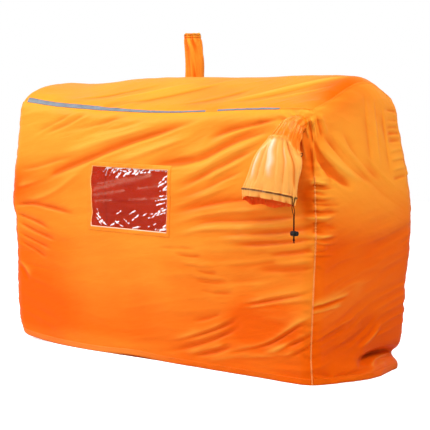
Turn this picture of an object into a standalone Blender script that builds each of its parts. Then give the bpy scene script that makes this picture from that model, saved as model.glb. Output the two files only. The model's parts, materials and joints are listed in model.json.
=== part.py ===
import math

import bmesh
import bpy
import numpy as np

for leftover in list(bpy.data.objects):
    bpy.data.objects.remove(leftover, do_unlink=True)

# The shelter as it stands when it is in use, metres. The front wall is the long
# wall with the window, at -Y. The right end is at +X.
left_x = -0.735
right_x = 0.710
front_y = -0.235
rear_y = 0.255
wall_height = 0.896
corner_radius = 0.055
# This puts the middle of the whole outline over the origin.
shift_x = 0.0129
shift_y = -0.008

# The cloth is 0.1 mm thick in life. It is drawn thick enough here to be a solid.
cloth = 0.002
skin = cloth / 2
edge_gap = 0.0004
layer_gap = 0.0003
band = 0.001

# Where the cloth is pushed out, tucked or lifted.
# Each line gives the middle, the reach along each axis, and the push.
everywhere = 1e9
crown = wall_height + 0.034
slumps = [
    ("broad bulge at the left end", (left_x, 0.00, 0.52), (0.20, everywhere, 0.30), (-0.042, 0, 0)),
    ("high bulge at the left end", (left_x, -0.10, 0.61), (0.16, 0.30, 0.08), (-0.012, 0, 0)),
    ("middle bulge at the left end", (left_x, -0.10, 0.52), (0.16, 0.30, 0.045), (-0.015, 0, 0)),
    ("low bulge at the left end", (left_x, -0.10, 0.17), (0.16, 0.30, 0.14), (-0.026, 0, 0)),
    ("bulge at the left foot", (left_x, -0.10, 0.03), (0.16, 0.30, 0.10), (-0.010, 0, 0)),
    ("broad bulge at the right end", (right_x, 0.06, 0.50), (0.18, 0.40, 0.26), (0.035, 0, 0)),
    ("low bulge at the right end", (right_x, 0.16, 0.17), (0.16, 0.22, 0.13), (0.026, 0, 0)),
    ("bulge at the rear right", (right_x - 0.05, rear_y, 0.50), (0.28, 0.22, 0.24), (0.006, 0.026, 0)),
    (
        "corner drawn in at the rear right",
        (right_x, rear_y, wall_height - 0.046),
        (0.12, 0.14, 0.10),
        (-0.010, -0.012, 0.004),
    ),
    ("broad bulge of the front", (0.10, front_y, 0.42), (0.55, 0.22, 0.30), (0, -0.014, 0)),
    ("low bulge at the left front", (-0.33, front_y, 0.02), (0.22, 0.18, 0.14), (0, -0.016, 0)),
    ("broad bulge of the rear", (-0.10, rear_y, 0.42), (0.60, 0.22, 0.30), (0, 0.018, 0)),
    ("long crown of the roof", (0.00, 0.03, crown), (3.00, 0.175, 0.20), (0, 0, 0.096)),
    ("higher crown at the right", (0.56, 0.09, crown), (0.24, 0.15, 0.16), (0.004, 0, 0.012)),
    ("low roof at the left", (-0.60, 0.02, crown), (0.22, 0.15, 0.16), (0, 0, -0.024)),
    (
        "roof pulled up over the left front",
        (left_x, -0.15, wall_height + 0.014),
        (0.16, 0.11, 0.12),
        (0.010, 0, 0.030),
    ),
    ("sag of the front edge", (0.00, front_y, wall_height - 0.016), (0.36, 0.11, 0.12), (0, 0, -0.022)),
    ("hem lifted at the left", (left_x, -0.10, 0.0), (0.15, 0.30, 0.12), (0, 0, 0.018)),
    ("hem lifted in the middle", (-0.10, front_y, 0.0), (0.10, 0.10, 0.08), (0, 0, 0.006)),
    ("skirt tucked in at the rear right", (right_x, 0.20, 0.050), (0.12, 0.15, 0.022), (-0.026, -0.012, 0)),
    ("skirt spread at the right", (right_x, 0.00, 0.0), (0.12, 0.15, 0.055), (0.056, 0, 0)),
]

window_left = -0.314
window_right = 0.072
window_bottom = 0.455
window_top = 0.671
window_frame_width = 0.015
film_margin = 0.003
window_lap = window_frame_width - film_margin
film_thickness = 0.0008

seam_half = 0.0057
tape_half = 0.0117
tape_left = left_x + 0.055
tape_right = right_x - 0.150
hem_height = 0.022

seat_half_length = 0.45
seat_inset = 0.023
seat_front_edge = front_y + seat_inset
seat_rear_edge = rear_y - seat_inset
seat_depth = 0.165
seat_gap = 0.0006
seat_fold = 0.0012

# Both vents are the same sleeve: an oval base ring sewn to the wall near its top.
vent_height = wall_height - 0.060
vent_half_width = 0.034
vent_half_height = 0.024
vent_hinge_lift = 0.0043
front_vent_x = right_x - 0.065
rear_vent_x = -0.318

cord_radius = 0.00125
cord_lift = skin + layer_gap + 0.0001 + cord_radius

hang_side = 0.0060
lock_drop = 0.090
lock_length_left = 0.0102
lock_length_right = 0.0082
knot_drop = 0.0215
lock_radius = 0.0088
bore_radius = 0.0054
bore_end = 0.0090
stem_radius = 0.0051
press = 0.0030
strand_half = 0.0016

materials = {}


def colour(name, rgb, roughness, alpha=1.0):
    material = bpy.data.materials.new(name)
    material.use_nodes = True
    shader = material.node_tree.nodes["Principled BSDF"]
    shader.inputs["Base Color"].default_value = (*rgb, 1)
    shader.inputs["Roughness"].default_value = roughness
    shader.inputs["Alpha"].default_value = alpha
    materials[name] = material


colour("coated nylon", (0.90, 0.22, 0.02), 0.45)
colour("seat cloth", (0.55, 0.12, 0.02), 0.6)
colour("clear film", (0.45, 0.12, 0.08), 0.15, 0.6)
colour("reflective tape", (0.35, 0.38, 0.44), 0.35)
colour("seam", (0.93, 0.36, 0.10), 0.55)
colour("black cord", (0.02, 0.02, 0.02), 0.7)
colour("black plastic", (0.015, 0.015, 0.015), 0.4)
colour("spring steel", (0.5, 0.5, 0.5), 0.3)


def slump(points):
    moved = np.array(points, float)
    for _, middle, reach, push in slumps:
        away = (points - np.array(middle)) / np.array(reach)
        weight = np.exp(-(away * away).sum(-1))
        moved += weight[..., None] * np.array(push)
    return moved + np.array((shift_x, shift_y, 0))


def shell(points, lift):
    """Points on the plain box, rounded at its edges, lifted off the cloth and slumped."""
    points = np.asarray(points, float)
    low = (left_x + corner_radius, front_y + corner_radius, -1e9)
    high = (right_x - corner_radius, rear_y - corner_radius, wall_height - corner_radius)
    core = np.clip(points, low, high)
    away = points - core
    away /= np.linalg.norm(away, axis=-1, keepdims=True)
    reach = corner_radius + np.asarray(lift, float)[..., None]
    return slump(core + away * reach)


def on_face(face, first, second, lift):
    a, b = np.broadcast_arrays(np.asarray(first, float), np.asarray(second, float))
    whole = np.ones_like(a)
    sides = {
        "front": (a, whole * front_y, b),
        "rear": (a, whole * rear_y, b),
        "left": (whole * left_x, a, b),
        "right": (whole * right_x, a, b),
        "roof": (a, b, whole * wall_height),
    }
    return shell(np.stack(sides[face], -1), lift)


def face_grid(face, across, along, lift):
    a, b = np.meshgrid(across, along, indexing="ij")
    return on_face(face, a, b, lift)


def add(name, verts, faces, material, origin=(0, 0, 0)):
    used = sorted({index for face in faces for index in face})
    place = {index: number for number, index in enumerate(used)}
    mesh = bpy.data.meshes.new(name)
    points = [tuple(np.asarray(verts[index]) - np.array(origin)) for index in used]
    mesh.from_pydata(points, [], [[place[index] for index in face] for face in faces])
    tidy = bmesh.new()
    tidy.from_mesh(mesh)
    bmesh.ops.recalc_face_normals(tidy, faces=tidy.faces)
    tidy.to_mesh(mesh)
    tidy.free()
    mesh.materials.append(materials[material])
    piece = bpy.data.objects.new(name, mesh)
    piece.location = origin
    bpy.context.collection.objects.link(piece)
    return piece


def layer(name, outer, inner, material, kept=None, loop=False, origin=(0, 0, 0)):
    """One closed solid between two grids of points, with a rim round every edge."""
    rows, cols = outer.shape[:2]
    count = rows * cols
    verts = np.concatenate([outer.reshape(-1, 3), inner.reshape(-1, 3)])
    faces = []
    edges = set()
    for i in range(rows if loop else rows - 1):
        for j in range(cols - 1):
            if kept is not None and not kept[i, j]:
                continue
            after = (i + 1) % rows
            corners = (i * cols + j, after * cols + j, after * cols + j + 1, i * cols + j + 1)
            faces.append(corners)
            faces.append(tuple(index + count for index in reversed(corners)))
            for k in range(4):
                edges.add((corners[k], corners[(k + 1) % 4]))
    for start, end in edges:
        if (end, start) not in edges:
            faces.append((end, start, start + count, end + count))
    return add(name, verts, faces, material, origin)


def cut(piece, tool):
    """Takes the tool's volume out of the piece and throws the tool away."""
    step = piece.modifiers.new("cut", "BOOLEAN")
    step.operation = "DIFFERENCE"
    step.solver = "EXACT"
    step.object = tool
    bpy.context.view_layer.update()
    depsgraph = bpy.context.evaluated_depsgraph_get()
    result = bpy.data.meshes.new_from_object(piece.evaluated_get(depsgraph))
    piece.modifiers.clear()
    piece.data = result
    bpy.data.objects.remove(tool, do_unlink=True)


def spread(start, end, steps):
    return list(np.linspace(start, end, steps + 1))[:-1]


# Cloth grid lines, shared by neighbouring panels so that their edges run together.
columns = (
    spread(left_x, left_x + corner_radius, 3)
    + spread(left_x + corner_radius, window_left, 4)
    + spread(window_left, window_right, 4)
    + spread(window_right, right_x - corner_radius, 6)
    + spread(right_x - corner_radius, right_x, 3)
    + [right_x]
)
depths = (
    spread(front_y, front_y + corner_radius, 3)
    + spread(front_y + corner_radius, rear_y - corner_radius, 7)
    + spread(rear_y - corner_radius, rear_y, 3)
    + [rear_y]
)
heights = (
    [0.0, hem_height, 0.040, 0.058, 0.076, 0.100, 0.140]
    + spread(0.190, window_bottom, 3)
    + spread(window_bottom, window_top, 3)
    + spread(window_top, wall_height - corner_radius, 2)
    + spread(wall_height - corner_radius, wall_height, 3)
    + [wall_height]
)


def drawn_in(values, at_start=True):
    """Stops the panel just short of its neighbours."""
    values = list(values)
    if at_start:
        values[0] += edge_gap
    values[-1] -= edge_gap
    return np.array(values)


wall_columns = drawn_in(columns)
end_depths = drawn_in(depths)
wall_heights = drawn_in(heights, at_start=False)


def panel(name, face, across, along, kept=None):
    outer = face_grid(face, across, along, skin)
    inner = face_grid(face, across, along, -skin)
    return layer(name, outer, inner, "coated nylon", kept)


across = (wall_columns[:-1] + wall_columns[1:]) / 2
along = (wall_heights[:-1] + wall_heights[1:]) / 2
in_window = (
    (across[:, None] > window_left)
    & (across[:, None] < window_right)
    & (along[None, :] > window_bottom)
    & (along[None, :] < window_top)
)
front_wall = panel("front_wall", "front", wall_columns, wall_heights, ~in_window)
rear_wall = panel("rear_wall", "rear", wall_columns, wall_heights)
panel("left_end", "left", end_depths, wall_heights)
panel("right_end", "right", end_depths, wall_heights)
panel("roof", "roof", wall_columns, end_depths)


# Window: the film is sewn behind the opening and a flat frame runs round it outside.
def within(values, start, end):
    return [value for value in values if start + 1e-6 < value < end - 1e-6]


film_columns = (
    [window_left - window_lap]
    + within(columns, window_left - window_lap, window_right + window_lap)
    + [window_right + window_lap]
)
film_heights = (
    [window_bottom - window_lap]
    + within(heights, window_bottom - window_lap, window_top + window_lap)
    + [window_top + window_lap]
)
film_lift = -(skin + layer_gap + 0.0002)
layer(
    "window_film",
    face_grid("front", film_columns, film_heights, film_lift),
    face_grid("front", film_columns, film_heights, film_lift - film_thickness),
    "clear film",
)

border_columns = (
    [window_left - window_frame_width]
    + [window_left]
    + within(columns, window_left, window_right)
    + [window_right, window_right + window_frame_width]
)
border_heights = (
    [window_bottom - window_frame_width]
    + [window_bottom]
    + within(heights, window_bottom, window_top)
    + [window_top, window_top + window_frame_width]
)
border = np.zeros((len(border_columns) - 1, len(border_heights) - 1), bool)
border[0, :] = True
border[-1, :] = True
border[:, 0] = True
border[:, -1] = True
layer(
    "window_frame",
    face_grid("front", border_columns, border_heights, skin + layer_gap + band),
    face_grid("front", border_columns, border_heights, skin + layer_gap),
    "coated nylon",
    border,
)


# Seams: a folded seam stands on each edge where two panels meet.
def edge_strip(name, lines, stations, lift, thick, material):
    """Each line across the strip is a face and where on it each station lies."""
    outer = []
    inner = []
    for face, at in lines:
        first, second = at(np.array(stations))
        outer.append(on_face(face, first, second, lift + thick))
        inner.append(on_face(face, first, second, lift))
    return layer(name, np.stack(outer, 1), np.stack(inner, 1), material)


seam_lift = skin + layer_gap
corner_stop = 0.013
seam_heights = [0.002] + within(heights, 0.002, wall_height - corner_stop) + [wall_height - corner_stop]
for name, end, end_x, long_side, side_y in (
    ("seam_front_left", "left", left_x, "front", front_y),
    ("seam_front_right", "right", right_x, "front", front_y),
    ("seam_rear_left", "left", left_x, "rear", rear_y),
    ("seam_rear_right", "right", right_x, "rear", rear_y),
):
    inward_x = 1 if end_x < 0 else -1
    inward_y = 1 if side_y < 0 else -1
    edge_strip(
        name,
        (
            (long_side, lambda z, x=end_x + inward_x * seam_half: (x, z)),
            (long_side, lambda z, x=end_x: (x, z)),
            (end, lambda z, y=side_y + inward_y * seam_half: (y, z)),
        ),
        seam_heights,
        seam_lift,
        band,
        "seam",
    )

for name, end, end_x in (("seam_roof_left", "left", left_x), ("seam_roof_right", "right", right_x)):
    inward_x = 1 if end_x < 0 else -1
    stations = (
        [front_y + corner_stop]
        + within(depths, front_y + corner_stop, rear_y - corner_stop)
        + [rear_y - corner_stop]
    )
    edge_strip(
        name,
        (
            (end, lambda y: (y, wall_height - seam_half)),
            (end, lambda y: (y, wall_height)),
            ("roof", lambda y, x=end_x + inward_x * seam_half: (x, y)),
        ),
        stations,
        seam_lift,
        band,
        "seam",
    )

for side, side_y, start, end in (
    ("front", front_y, tape_left, tape_right),
    ("rear", rear_y, -tape_right, -tape_left - 0.025),
):
    inward_y = 1 if side_y < 0 else -1
    stations = (
        [left_x + corner_stop]
        + within(columns, left_x + corner_stop, right_x - corner_stop)
        + [right_x - corner_stop]
    )
    edge_strip(
        "seam_roof_%s" % side,
        (
            (side, lambda x: (x, wall_height - seam_half)),
            (side, lambda x: (x, wall_height)),
            ("roof", lambda x, y=side_y + inward_y * seam_half: (x, y)),
        ),
        stations,
        seam_lift,
        band,
        "seam",
    )
    stations = [start] + within(columns, start, end) + [end]
    edge_strip(
        "%s_reflective_strip" % side,
        (
            (side, lambda x: (x, wall_height - tape_half)),
            (side, lambda x: (x, wall_height - seam_half)),
            (side, lambda x: (x, wall_height)),
            ("roof", lambda x, y=side_y + inward_y * seam_half: (x, y)),
            ("roof", lambda x, y=side_y + inward_y * tape_half: (x, y)),
        ),
        stations,
        seam_lift + band + layer_gap,
        0.0007,
        "reflective tape",
    )

# Hem: a doubled band round the foot of every panel.
hem_stop = 0.0085
hem_lines = [0.003, hem_height / 2, hem_height]
for name, face, lines in (
    ("hem_front", "front", columns),
    ("hem_rear", "rear", columns),
    ("hem_left", "left", depths),
    ("hem_right", "right", depths),
):
    start = lines[0] + hem_stop
    end = lines[-1] - hem_stop
    stations = [start] + within(lines, start, end) + [end]
    layer(
        name,
        face_grid(face, stations, hem_lines, seam_lift + band),
        face_grid(face, stations, hem_lines, seam_lift),
        "seam",
    )


# Seats: a strip sewn inside the hem and a seat panel that folds up from it.
def flat(name, outline_front, outline_rear, xs, material, origin=(0, 0, 0)):
    top = np.stack(
        [
            np.stack([xs, outline_front, np.full(len(xs), cloth)], -1),
            np.stack([xs, outline_rear, np.full(len(xs), cloth)], -1),
        ],
        1,
    )
    bottom = top.copy()
    bottom[..., 2] = 0
    return layer(name, top, bottom, material, origin=origin)


seat_xs = np.array(
    [-seat_half_length] + within(columns, -seat_half_length, seat_half_length) + [seat_half_length]
)
seat_folds = {}
for side, face, edge, inward in (
    ("front", "front", seat_front_edge, 1),
    ("rear", "rear", seat_rear_edge, -1),
):
    wall_line = on_face(face, seat_xs, 0.001, -skin)[:, 1] + inward * (layer_gap + 0.0002)
    straight = np.full(len(seat_xs), edge + shift_y)
    flat("%s_seat_strip" % side, wall_line, straight, seat_xs + shift_x, "seat cloth")
    fold = (0, edge + shift_y + inward * (seat_gap + seat_fold), cloth / 2)
    seat_folds[side] = fold
    ends = np.array([-seat_half_length, seat_half_length]) + shift_x
    near = np.full(2, edge + shift_y + inward * seat_gap)
    far = np.full(2, edge + shift_y + inward * (seat_gap + seat_depth))
    flat("%s_seat" % side, near, far, ends, "seat cloth", origin=fold)


# Vent sleeves. The front drawcord comes out near the right end of the oval mouth.
cord_exit = math.radians(12)
front_cord_at = 6.15
rear_cord_at = 8.35
channel_opening = 0.0066
loop_opening = 0.0036
# The places round an oval lie closer together at its two narrow ends.
quarter = [0, 4, 8.5, 14, 22, 34, 50, 70]
fine_quarter = [0, 4, 8.5, 14, 22, 34, 42, 50, 60, 70, 80]


def all_round(first_quarter):
    half = list(first_quarter) + [90] + [180 - value for value in reversed(first_quarter[1:])]
    return np.radians(half + [value + 180 for value in half])


angles = all_round(quarter)
fine_angles = all_round(fine_quarter)
turns = len(angles)


def smooth(values, at):
    """A smooth line through the given values, read at any place along it."""
    values = np.asarray(values, float)
    at = np.clip(np.asarray(at, float), 0, len(values) - 1)
    number = np.minimum(at.astype(int), len(values) - 2)
    part = (at - number)[..., None]
    before = values[np.maximum(number - 1, 0)]
    first = values[number]
    second = values[number + 1]
    after = values[np.minimum(number + 2, len(values) - 1)]
    lead = (second - before) / 2
    follow = (after - first) / 2
    return (
        first * (2 * part**3 - 3 * part**2 + 1)
        + lead * (part**3 - 2 * part**2 + part)
        + second * (3 * part**2 - 2 * part**3)
        + follow * (part**3 - part**2)
    )


def base_ring(vent, angle, size, lift):
    """The oval on the wall that the sleeve is sewn to."""
    face, x, up = vent["face"], vent["x"], vent["up"]
    along_x = x + vent_half_width * size * np.cos(angle)
    along_z = vent_height + up * vent_half_height * size * np.sin(angle)
    return on_face(face, along_x, along_z, lift)


def sleeve_middle(vent, at, angle):
    rings = vent["rings"]
    at, angle = np.broadcast_arrays(np.asarray(at, float), np.asarray(angle, float))
    shape = smooth(rings, np.maximum(at - 1, 0))
    centre = shape[..., 0:3] + np.array((shift_x, shift_y, 0))
    free = (
        centre
        + shape[..., 3:6] * np.cos(angle)[..., None]
        + shape[..., 6:9] * np.sin(angle)[..., None]
    )
    near = np.minimum(at, 1)
    size = 1.12 + 0.06 * near
    sewn = base_ring(vent, angle, size, 0.0031 + 0.0110 * near)
    share = np.clip(at, 0, 1) ** 2 * (3 - 2 * np.clip(at, 0, 1))
    share = share[..., None]
    return np.where(at[..., None] <= 1, sewn * (1 - share) + free * share, free)


def sleeve_point(vent, at, angle, lift):
    at, angle = np.broadcast_arrays(np.asarray(at, float), np.asarray(angle, float))
    last = len(vent["rings"])
    step = 0.02
    here = sleeve_middle(vent, at, angle)
    onward = sleeve_middle(vent, np.minimum(at + step, last), angle)
    onward = onward - sleeve_middle(vent, np.maximum(at - step, 0), angle)
    round_it = sleeve_middle(vent, at, angle + step) - sleeve_middle(vent, at, angle - step)
    outward = np.cross(round_it, onward)
    outward /= np.linalg.norm(outward, axis=-1, keepdims=True)
    return here + outward * np.asarray(lift)[..., None]


def ring(vent, x, out, up, half_width, half_depth, width_tilt, depth_way):
    """Middle of a sleeve's cross section, measured from the middle of the vent on the plain
    wall, then its half width and half depth as arrows."""
    depth_way = np.array(depth_way, float)
    depth_way /= np.linalg.norm(depth_way)
    tilt = math.radians(width_tilt)
    wide = np.array((math.cos(tilt), 0, math.sin(tilt))) * half_width
    wall = front_y if vent["face"] == "front" else rear_y
    return [vent["x"] + x, wall + out, vent_height + up, *wide, *(depth_way * half_depth)]


# The front vent hangs down open. The rear vent stands up with its mouth drawn shut.
front_vent = {"face": "front", "x": front_vent_x, "up": 1}
front_vent["rings"] = [
    ring(front_vent, 0.001, -0.027, -0.005, 0.043, 0.028, 0, (0, -0.45, 0.9)),
    ring(front_vent, -0.005, -0.041, -0.029, 0.054, 0.029, 0, (0, -0.85, 0.5)),
    ring(front_vent, -0.022, -0.049, -0.061, 0.072, 0.029, -3, (0, -0.98, 0.15)),
    ring(front_vent, -0.034, -0.054, -0.111, 0.099, 0.029, -4, (0, -1, 0.05)),
    ring(front_vent, -0.052, -0.056, -0.166, 0.104, 0.029, -4.5, (0, -1, 0.15)),
    ring(front_vent, -0.066, -0.056, -0.211, 0.110, 0.029, -4.5, (0, -1, 0.30)),
    ring(front_vent, -0.071, -0.056, -0.241, 0.110, 0.028, -4.5, (0, -1, 0.40)),
]
rear_vent = {"face": "rear", "x": rear_vent_x, "up": -1}
rear_vent["rings"] = [
    ring(rear_vent, 0.000, 0.033, 0.006, 0.042, 0.030, 0, (0, 0.60, -0.8)),
    ring(rear_vent, -0.002, 0.047, 0.034, 0.040, 0.036, 0, (0, 0.95, -0.3)),
    ring(rear_vent, -0.003, 0.049, 0.082, 0.039, 0.036, 0, (0, 1, 0)),
    ring(rear_vent, -0.003, 0.048, 0.142, 0.038, 0.035, 0, (0, 1, 0)),
    ring(rear_vent, -0.001, 0.047, 0.202, 0.036, 0.033, 0, (0, 1, 0)),
    ring(rear_vent, -0.005, 0.046, 0.254, 0.034, 0.031, 0, (0, 1, 0)),
    ring(rear_vent, -0.010, 0.045, 0.284, 0.034, 0.030, 0, (0, 1, 0)),
    ring(rear_vent, -0.012, 0.045, 0.307, 0.031, 0.027, 0, (0, 1, 0)),
    ring(rear_vent, -0.012, 0.045, 0.322, 0.025, 0.022, 0, (0, 1, 0)),
]


def hinge_at(vent):
    """The middle of the sewn ring's edge that the sleeve turns over."""
    point = base_ring(vent, math.pi / 2, 1.12, vent_hinge_lift)
    return (float(point[0]), float(point[1]), float(point[2]))


def vent_collar(name, vent):
    sizes = np.array([0.98, 1.16, 1.34])
    a, s = np.meshgrid(angles, sizes, indexing="ij")
    layer(
        name,
        base_ring(vent, a, s, seam_lift + band),
        base_ring(vent, a, s, seam_lift),
        "coated nylon",
        loop=True,
    )


def vent_hole(wall, vent):
    outer = base_ring(vent, angles, 0.92, 0.02)
    inner = base_ring(vent, angles, 0.92, -0.02)
    verts = np.concatenate([outer, inner])
    faces = [tuple(range(turns)), tuple(range(2 * turns - 1, turns - 1, -1))]
    for k in range(turns):
        after = (k + 1) % turns
        faces.append((after, k, k + turns, after + turns))
    tool = add("cutter", verts, faces, "coated nylon")
    cut(wall, tool)


def sleeve(name, vent, stations):
    a, s = np.meshgrid(angles, stations, indexing="ij")
    layer(
        name,
        sleeve_point(vent, s, a, np.full(a.shape, skin)),
        sleeve_point(vent, s, a, np.full(a.shape, -skin)),
        "coated nylon",
        loop=True,
        origin=hinge_at(vent),
    )


def tube(name, points, radius, material, origin, sides=2):
    """A round cord along the points, with flat ends."""
    line = bpy.data.curves.new(name, "CURVE")
    line.dimensions = "3D"
    line.bevel_depth = radius
    line.bevel_resolution = sides
    line.use_fill_caps = True
    run = line.splines.new("POLY")
    run.points.add(len(points) - 1)
    for spot, point in zip(run.points, points):
        spot.co = (*(np.asarray(point) - np.array(origin)), 1)
    line.materials.append(materials[material])
    piece = bpy.data.objects.new(name, line)
    piece.location = origin
    bpy.context.collection.objects.link(piece)
    return piece


vent_collar("front_vent_collar", front_vent)
vent_collar("rear_vent_collar", rear_vent)
vent_hole(front_wall, front_vent)
vent_hole(rear_wall, rear_vent)
front_hinge = hinge_at(front_vent)
rear_hinge = hinge_at(rear_vent)

front_last = len(front_vent["rings"])
sleeve(
    "front_vent_sleeve",
    front_vent,
    [0, 0.33, 0.67, 1, 1.5, 2, 3, 3.5, 4, 5, 6, 6.3, 6.6, 7],
)
sleeve(
    "rear_vent_sleeve",
    rear_vent,
    [0, 0.33, 0.67, 1, 1.5, 2, 3, 5, 6, 7, 7.5, 8, 8.35, 8.7, 9],
)


def turn_for(vent, at, angle, length):
    """How far round the oval a short length reaches."""
    step = 0.01
    ahead = sleeve_point(vent, at, angle + step, np.array(cord_lift))
    behind = sleeve_point(vent, at, angle - step, np.array(cord_lift))
    return length * 2 * step / float(np.linalg.norm(ahead - behind))


def open_round(vent, at, places, opening, length):
    """The places round the oval from one side of the opening to the other."""
    slot = turn_for(vent, at, opening, length)
    start = opening + slot
    end = opening + 2 * math.pi - slot
    both = np.concatenate([places, places + 2 * math.pi])
    inside = both[(both > start + 0.02) & (both < end - 0.02)]
    return np.concatenate([[start], inside, [end]])


# Channel: the sleeve's mouth is folded over a drawcord. The cord comes out at a gap.
def channel(name, vent, stations, raised, opening, length, places):
    run = open_round(vent, stations[1], places, opening, length)
    a, s = np.meshgrid(run, stations, indexing="ij")
    lifts = np.broadcast_to(np.array(raised), a.shape)
    layer(
        name,
        sleeve_point(vent, s, a, lifts + band),
        sleeve_point(vent, s, a, lifts),
        "coated nylon",
        origin=hinge_at(vent),
    )


low = skin + layer_gap
high = cord_lift + cord_radius + layer_gap + 0.0006
channel(
    "front_vent_channel",
    front_vent,
    [front_cord_at - 0.17, front_cord_at - 0.09, front_cord_at + 0.09, front_cord_at + 0.17, 6.60, 6.98],
    [low, high, high, low, low, low],
    cord_exit,
    channel_opening,
    angles,
)
channel(
    "rear_vent_channel",
    rear_vent,
    [rear_cord_at - 0.55, rear_cord_at - 0.25, rear_cord_at + 0.25, rear_cord_at + 0.55],
    [low, high, high, low],
    math.pi / 2,
    channel_opening,
    fine_angles,
)


def channel_cord(name, vent, at, opening):
    run = open_round(vent, at, fine_angles, opening, loop_opening)
    points = sleeve_point(vent, at, run, np.full(run.shape, cord_lift))
    tube(name, points, cord_radius, "black cord", hinge_at(vent))
    return points


channel_cord("front_drawcord_loop", front_vent, front_cord_at, cord_exit)
channel_cord("rear_drawcord_loop", rear_vent, rear_cord_at, math.pi / 2)

# The two free ends of the front drawcord hang from the gap, through the lock, to a knot.
mouth = sleeve_point(front_vent, front_last, cord_exit, np.array(cord_lift + 0.0006))
hang_x = float(mouth[0]) + hang_side
hang_y = float(mouth[1]) - 0.0015
lock_middle = np.array((hang_x, hang_y, float(mouth[2]) - lock_drop))
knot_middle = lock_middle + np.array((0, 0, -knot_drop))
strand_end = knot_middle[2] + 0.0048
for name, side in (("front_drawcord_left", -1), ("front_drawcord_right", 1)):
    points = []
    for part in np.linspace(0, 1, 9):
        apart = loop_opening * (1 - part) + (strand_half + 0.0004) * part
        at = front_cord_at + 0.05 + (front_last - front_cord_at - 0.05) * part
        apart = side * turn_for(front_vent, at, cord_exit, apart)
        points.append(sleeve_point(front_vent, at, cord_exit + apart, np.array(cord_lift + 0.0003)))
    edge_point = points[-1]
    beside = strand_half if edge_point[0] > mouth[0] else -strand_half
    free_top = edge_point[2] - 0.002
    free_bottom = free_top - 0.030
    for part in np.linspace(0, 1, 8):
        ease = part * part * (3 - 2 * part)
        points.append(
            np.array(
                (
                    edge_point[0] * (1 - ease) + (hang_x + beside) * ease,
                    edge_point[1] * (1 - ease) + hang_y * ease,
                    free_top + (free_bottom - free_top) * part,
                )
            )
        )
    for height in np.linspace(free_bottom, strand_end, 11)[1:]:
        points.append(np.array((hang_x + beside, hang_y, height)))
    tube(name, points, cord_radius, "black cord", front_hinge)


def ball(name, middle, radii, material, origin):
    rows, cols = 7, 14
    verts = []
    for i in range(1, rows):
        tall = math.pi * i / rows
        for j in range(cols):
            turn = 2 * math.pi * j / cols
            verts.append(
                (
                    middle[0] + radii[0] * math.sin(tall) * math.cos(turn),
                    middle[1] + radii[1] * math.sin(tall) * math.sin(turn),
                    middle[2] + radii[2] * math.cos(tall),
                )
            )
    top = len(verts)
    verts.append((middle[0], middle[1], middle[2] + radii[2]))
    verts.append((middle[0], middle[1], middle[2] - radii[2]))
    faces = []
    for j in range(cols):
        after = (j + 1) % cols
        faces.append((top, j, after))
        last = (rows - 2) * cols
        faces.append((top + 1, last + after, last + j))
        for i in range(rows - 2):
            faces.append((i * cols + j, (i + 1) * cols + j, (i + 1) * cols + after, i * cols + after))
    return add(name, verts, faces, material, origin)


ball("front_drawcord_knot", knot_middle, (0.0042, 0.0036, 0.0044), "black cord", front_hinge)


# Cord lock: a barrel across the cords, a sprung plunger, and a slot through both.
def barrel(name, middle, profile, material, sides=28):
    """A solid turned round the X axis. The profile gives (x, radius)."""
    rows = []
    for x, radius in profile:
        angle = np.linspace(0, 2 * math.pi, sides, endpoint=False)
        rows.append(
            np.stack([np.full(sides, x), radius * np.cos(angle), radius * np.sin(angle)], -1) + middle
        )
    verts = np.concatenate(rows)
    faces = [tuple(range(sides)), tuple(range((len(rows) - 1) * sides, len(rows) * sides))]
    for i in range(len(rows) - 1):
        for j in range(sides):
            after = (j + 1) % sides
            faces.append((i * sides + j, i * sides + after, (i + 1) * sides + after, (i + 1) * sides + j))
    return add(name, verts, faces, material, tuple(middle))


def block(name, middle, low_corner, high_corner, material):
    x0, y0, z0 = low_corner
    x1, y1, z1 = high_corner
    verts = [
        np.array((x, y, z)) + middle
        for x, y, z in (
            (x0, y0, z0),
            (x1, y0, z0),
            (x1, y1, z0),
            (x0, y1, z0),
            (x0, y0, z1),
            (x1, y0, z1),
            (x1, y1, z1),
            (x0, y1, z1),
        )
    ]
    faces = [(0, 3, 2, 1), (4, 5, 6, 7), (0, 1, 5, 4), (1, 2, 6, 5), (2, 3, 7, 6), (3, 0, 4, 7)]
    return add(name, verts, faces, material, tuple(middle))


slot_half = strand_half + cord_radius + 0.0004
slot_wide = cord_radius + 0.0004
housing = barrel(
    "cord_lock_housing",
    lock_middle,
    [
        (-lock_length_left, lock_radius - 0.0030),
        (-lock_length_left + 0.0008, lock_radius - 0.0009),
        (-lock_length_left + 0.0022, lock_radius),
        (lock_length_right - 0.0018, lock_radius),
        (lock_length_right - 0.0005, lock_radius - 0.0005),
        (lock_length_right, lock_radius - 0.0014),
    ],
    "black plastic",
)
bore = [(-bore_end, bore_radius), (0.02, bore_radius)]
cut(housing, barrel("cutter", lock_middle, bore, "black plastic"))
slot_low, slot_high = (-slot_half, -slot_wide, -0.02), (slot_half, slot_wide, 0.02)
cut(housing, block("cutter", lock_middle, slot_low, slot_high, "black plastic"))
stem_end = -slot_half - 0.0012
head_start = lock_length_right + press + 0.0004
plunger = barrel(
    "cord_lock_plunger",
    lock_middle,
    [
        (stem_end, stem_radius),
        (head_start, stem_radius),
        (head_start + 0.0001, lock_radius - 0.0018),
        (head_start + 0.0007, lock_radius - 0.0010),
        (head_start + 0.0024, lock_radius - 0.0012),
        (head_start + 0.0034, lock_radius - 0.0030),
    ],
    "black plastic",
)
cut(
    plunger,
    block(
        "cutter",
        lock_middle,
        (-slot_half, -slot_wide, -0.02),
        (slot_half + press, slot_wide, 0.02),
        "black plastic",
    ),
)
coil_wire = 0.00030
coil_start = -bore_end + coil_wire + 0.0003
coil_end = stem_end - coil_wire - 0.0003
coil = []
coil_turns = 2.5
coil_radius = 0.0036
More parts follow.
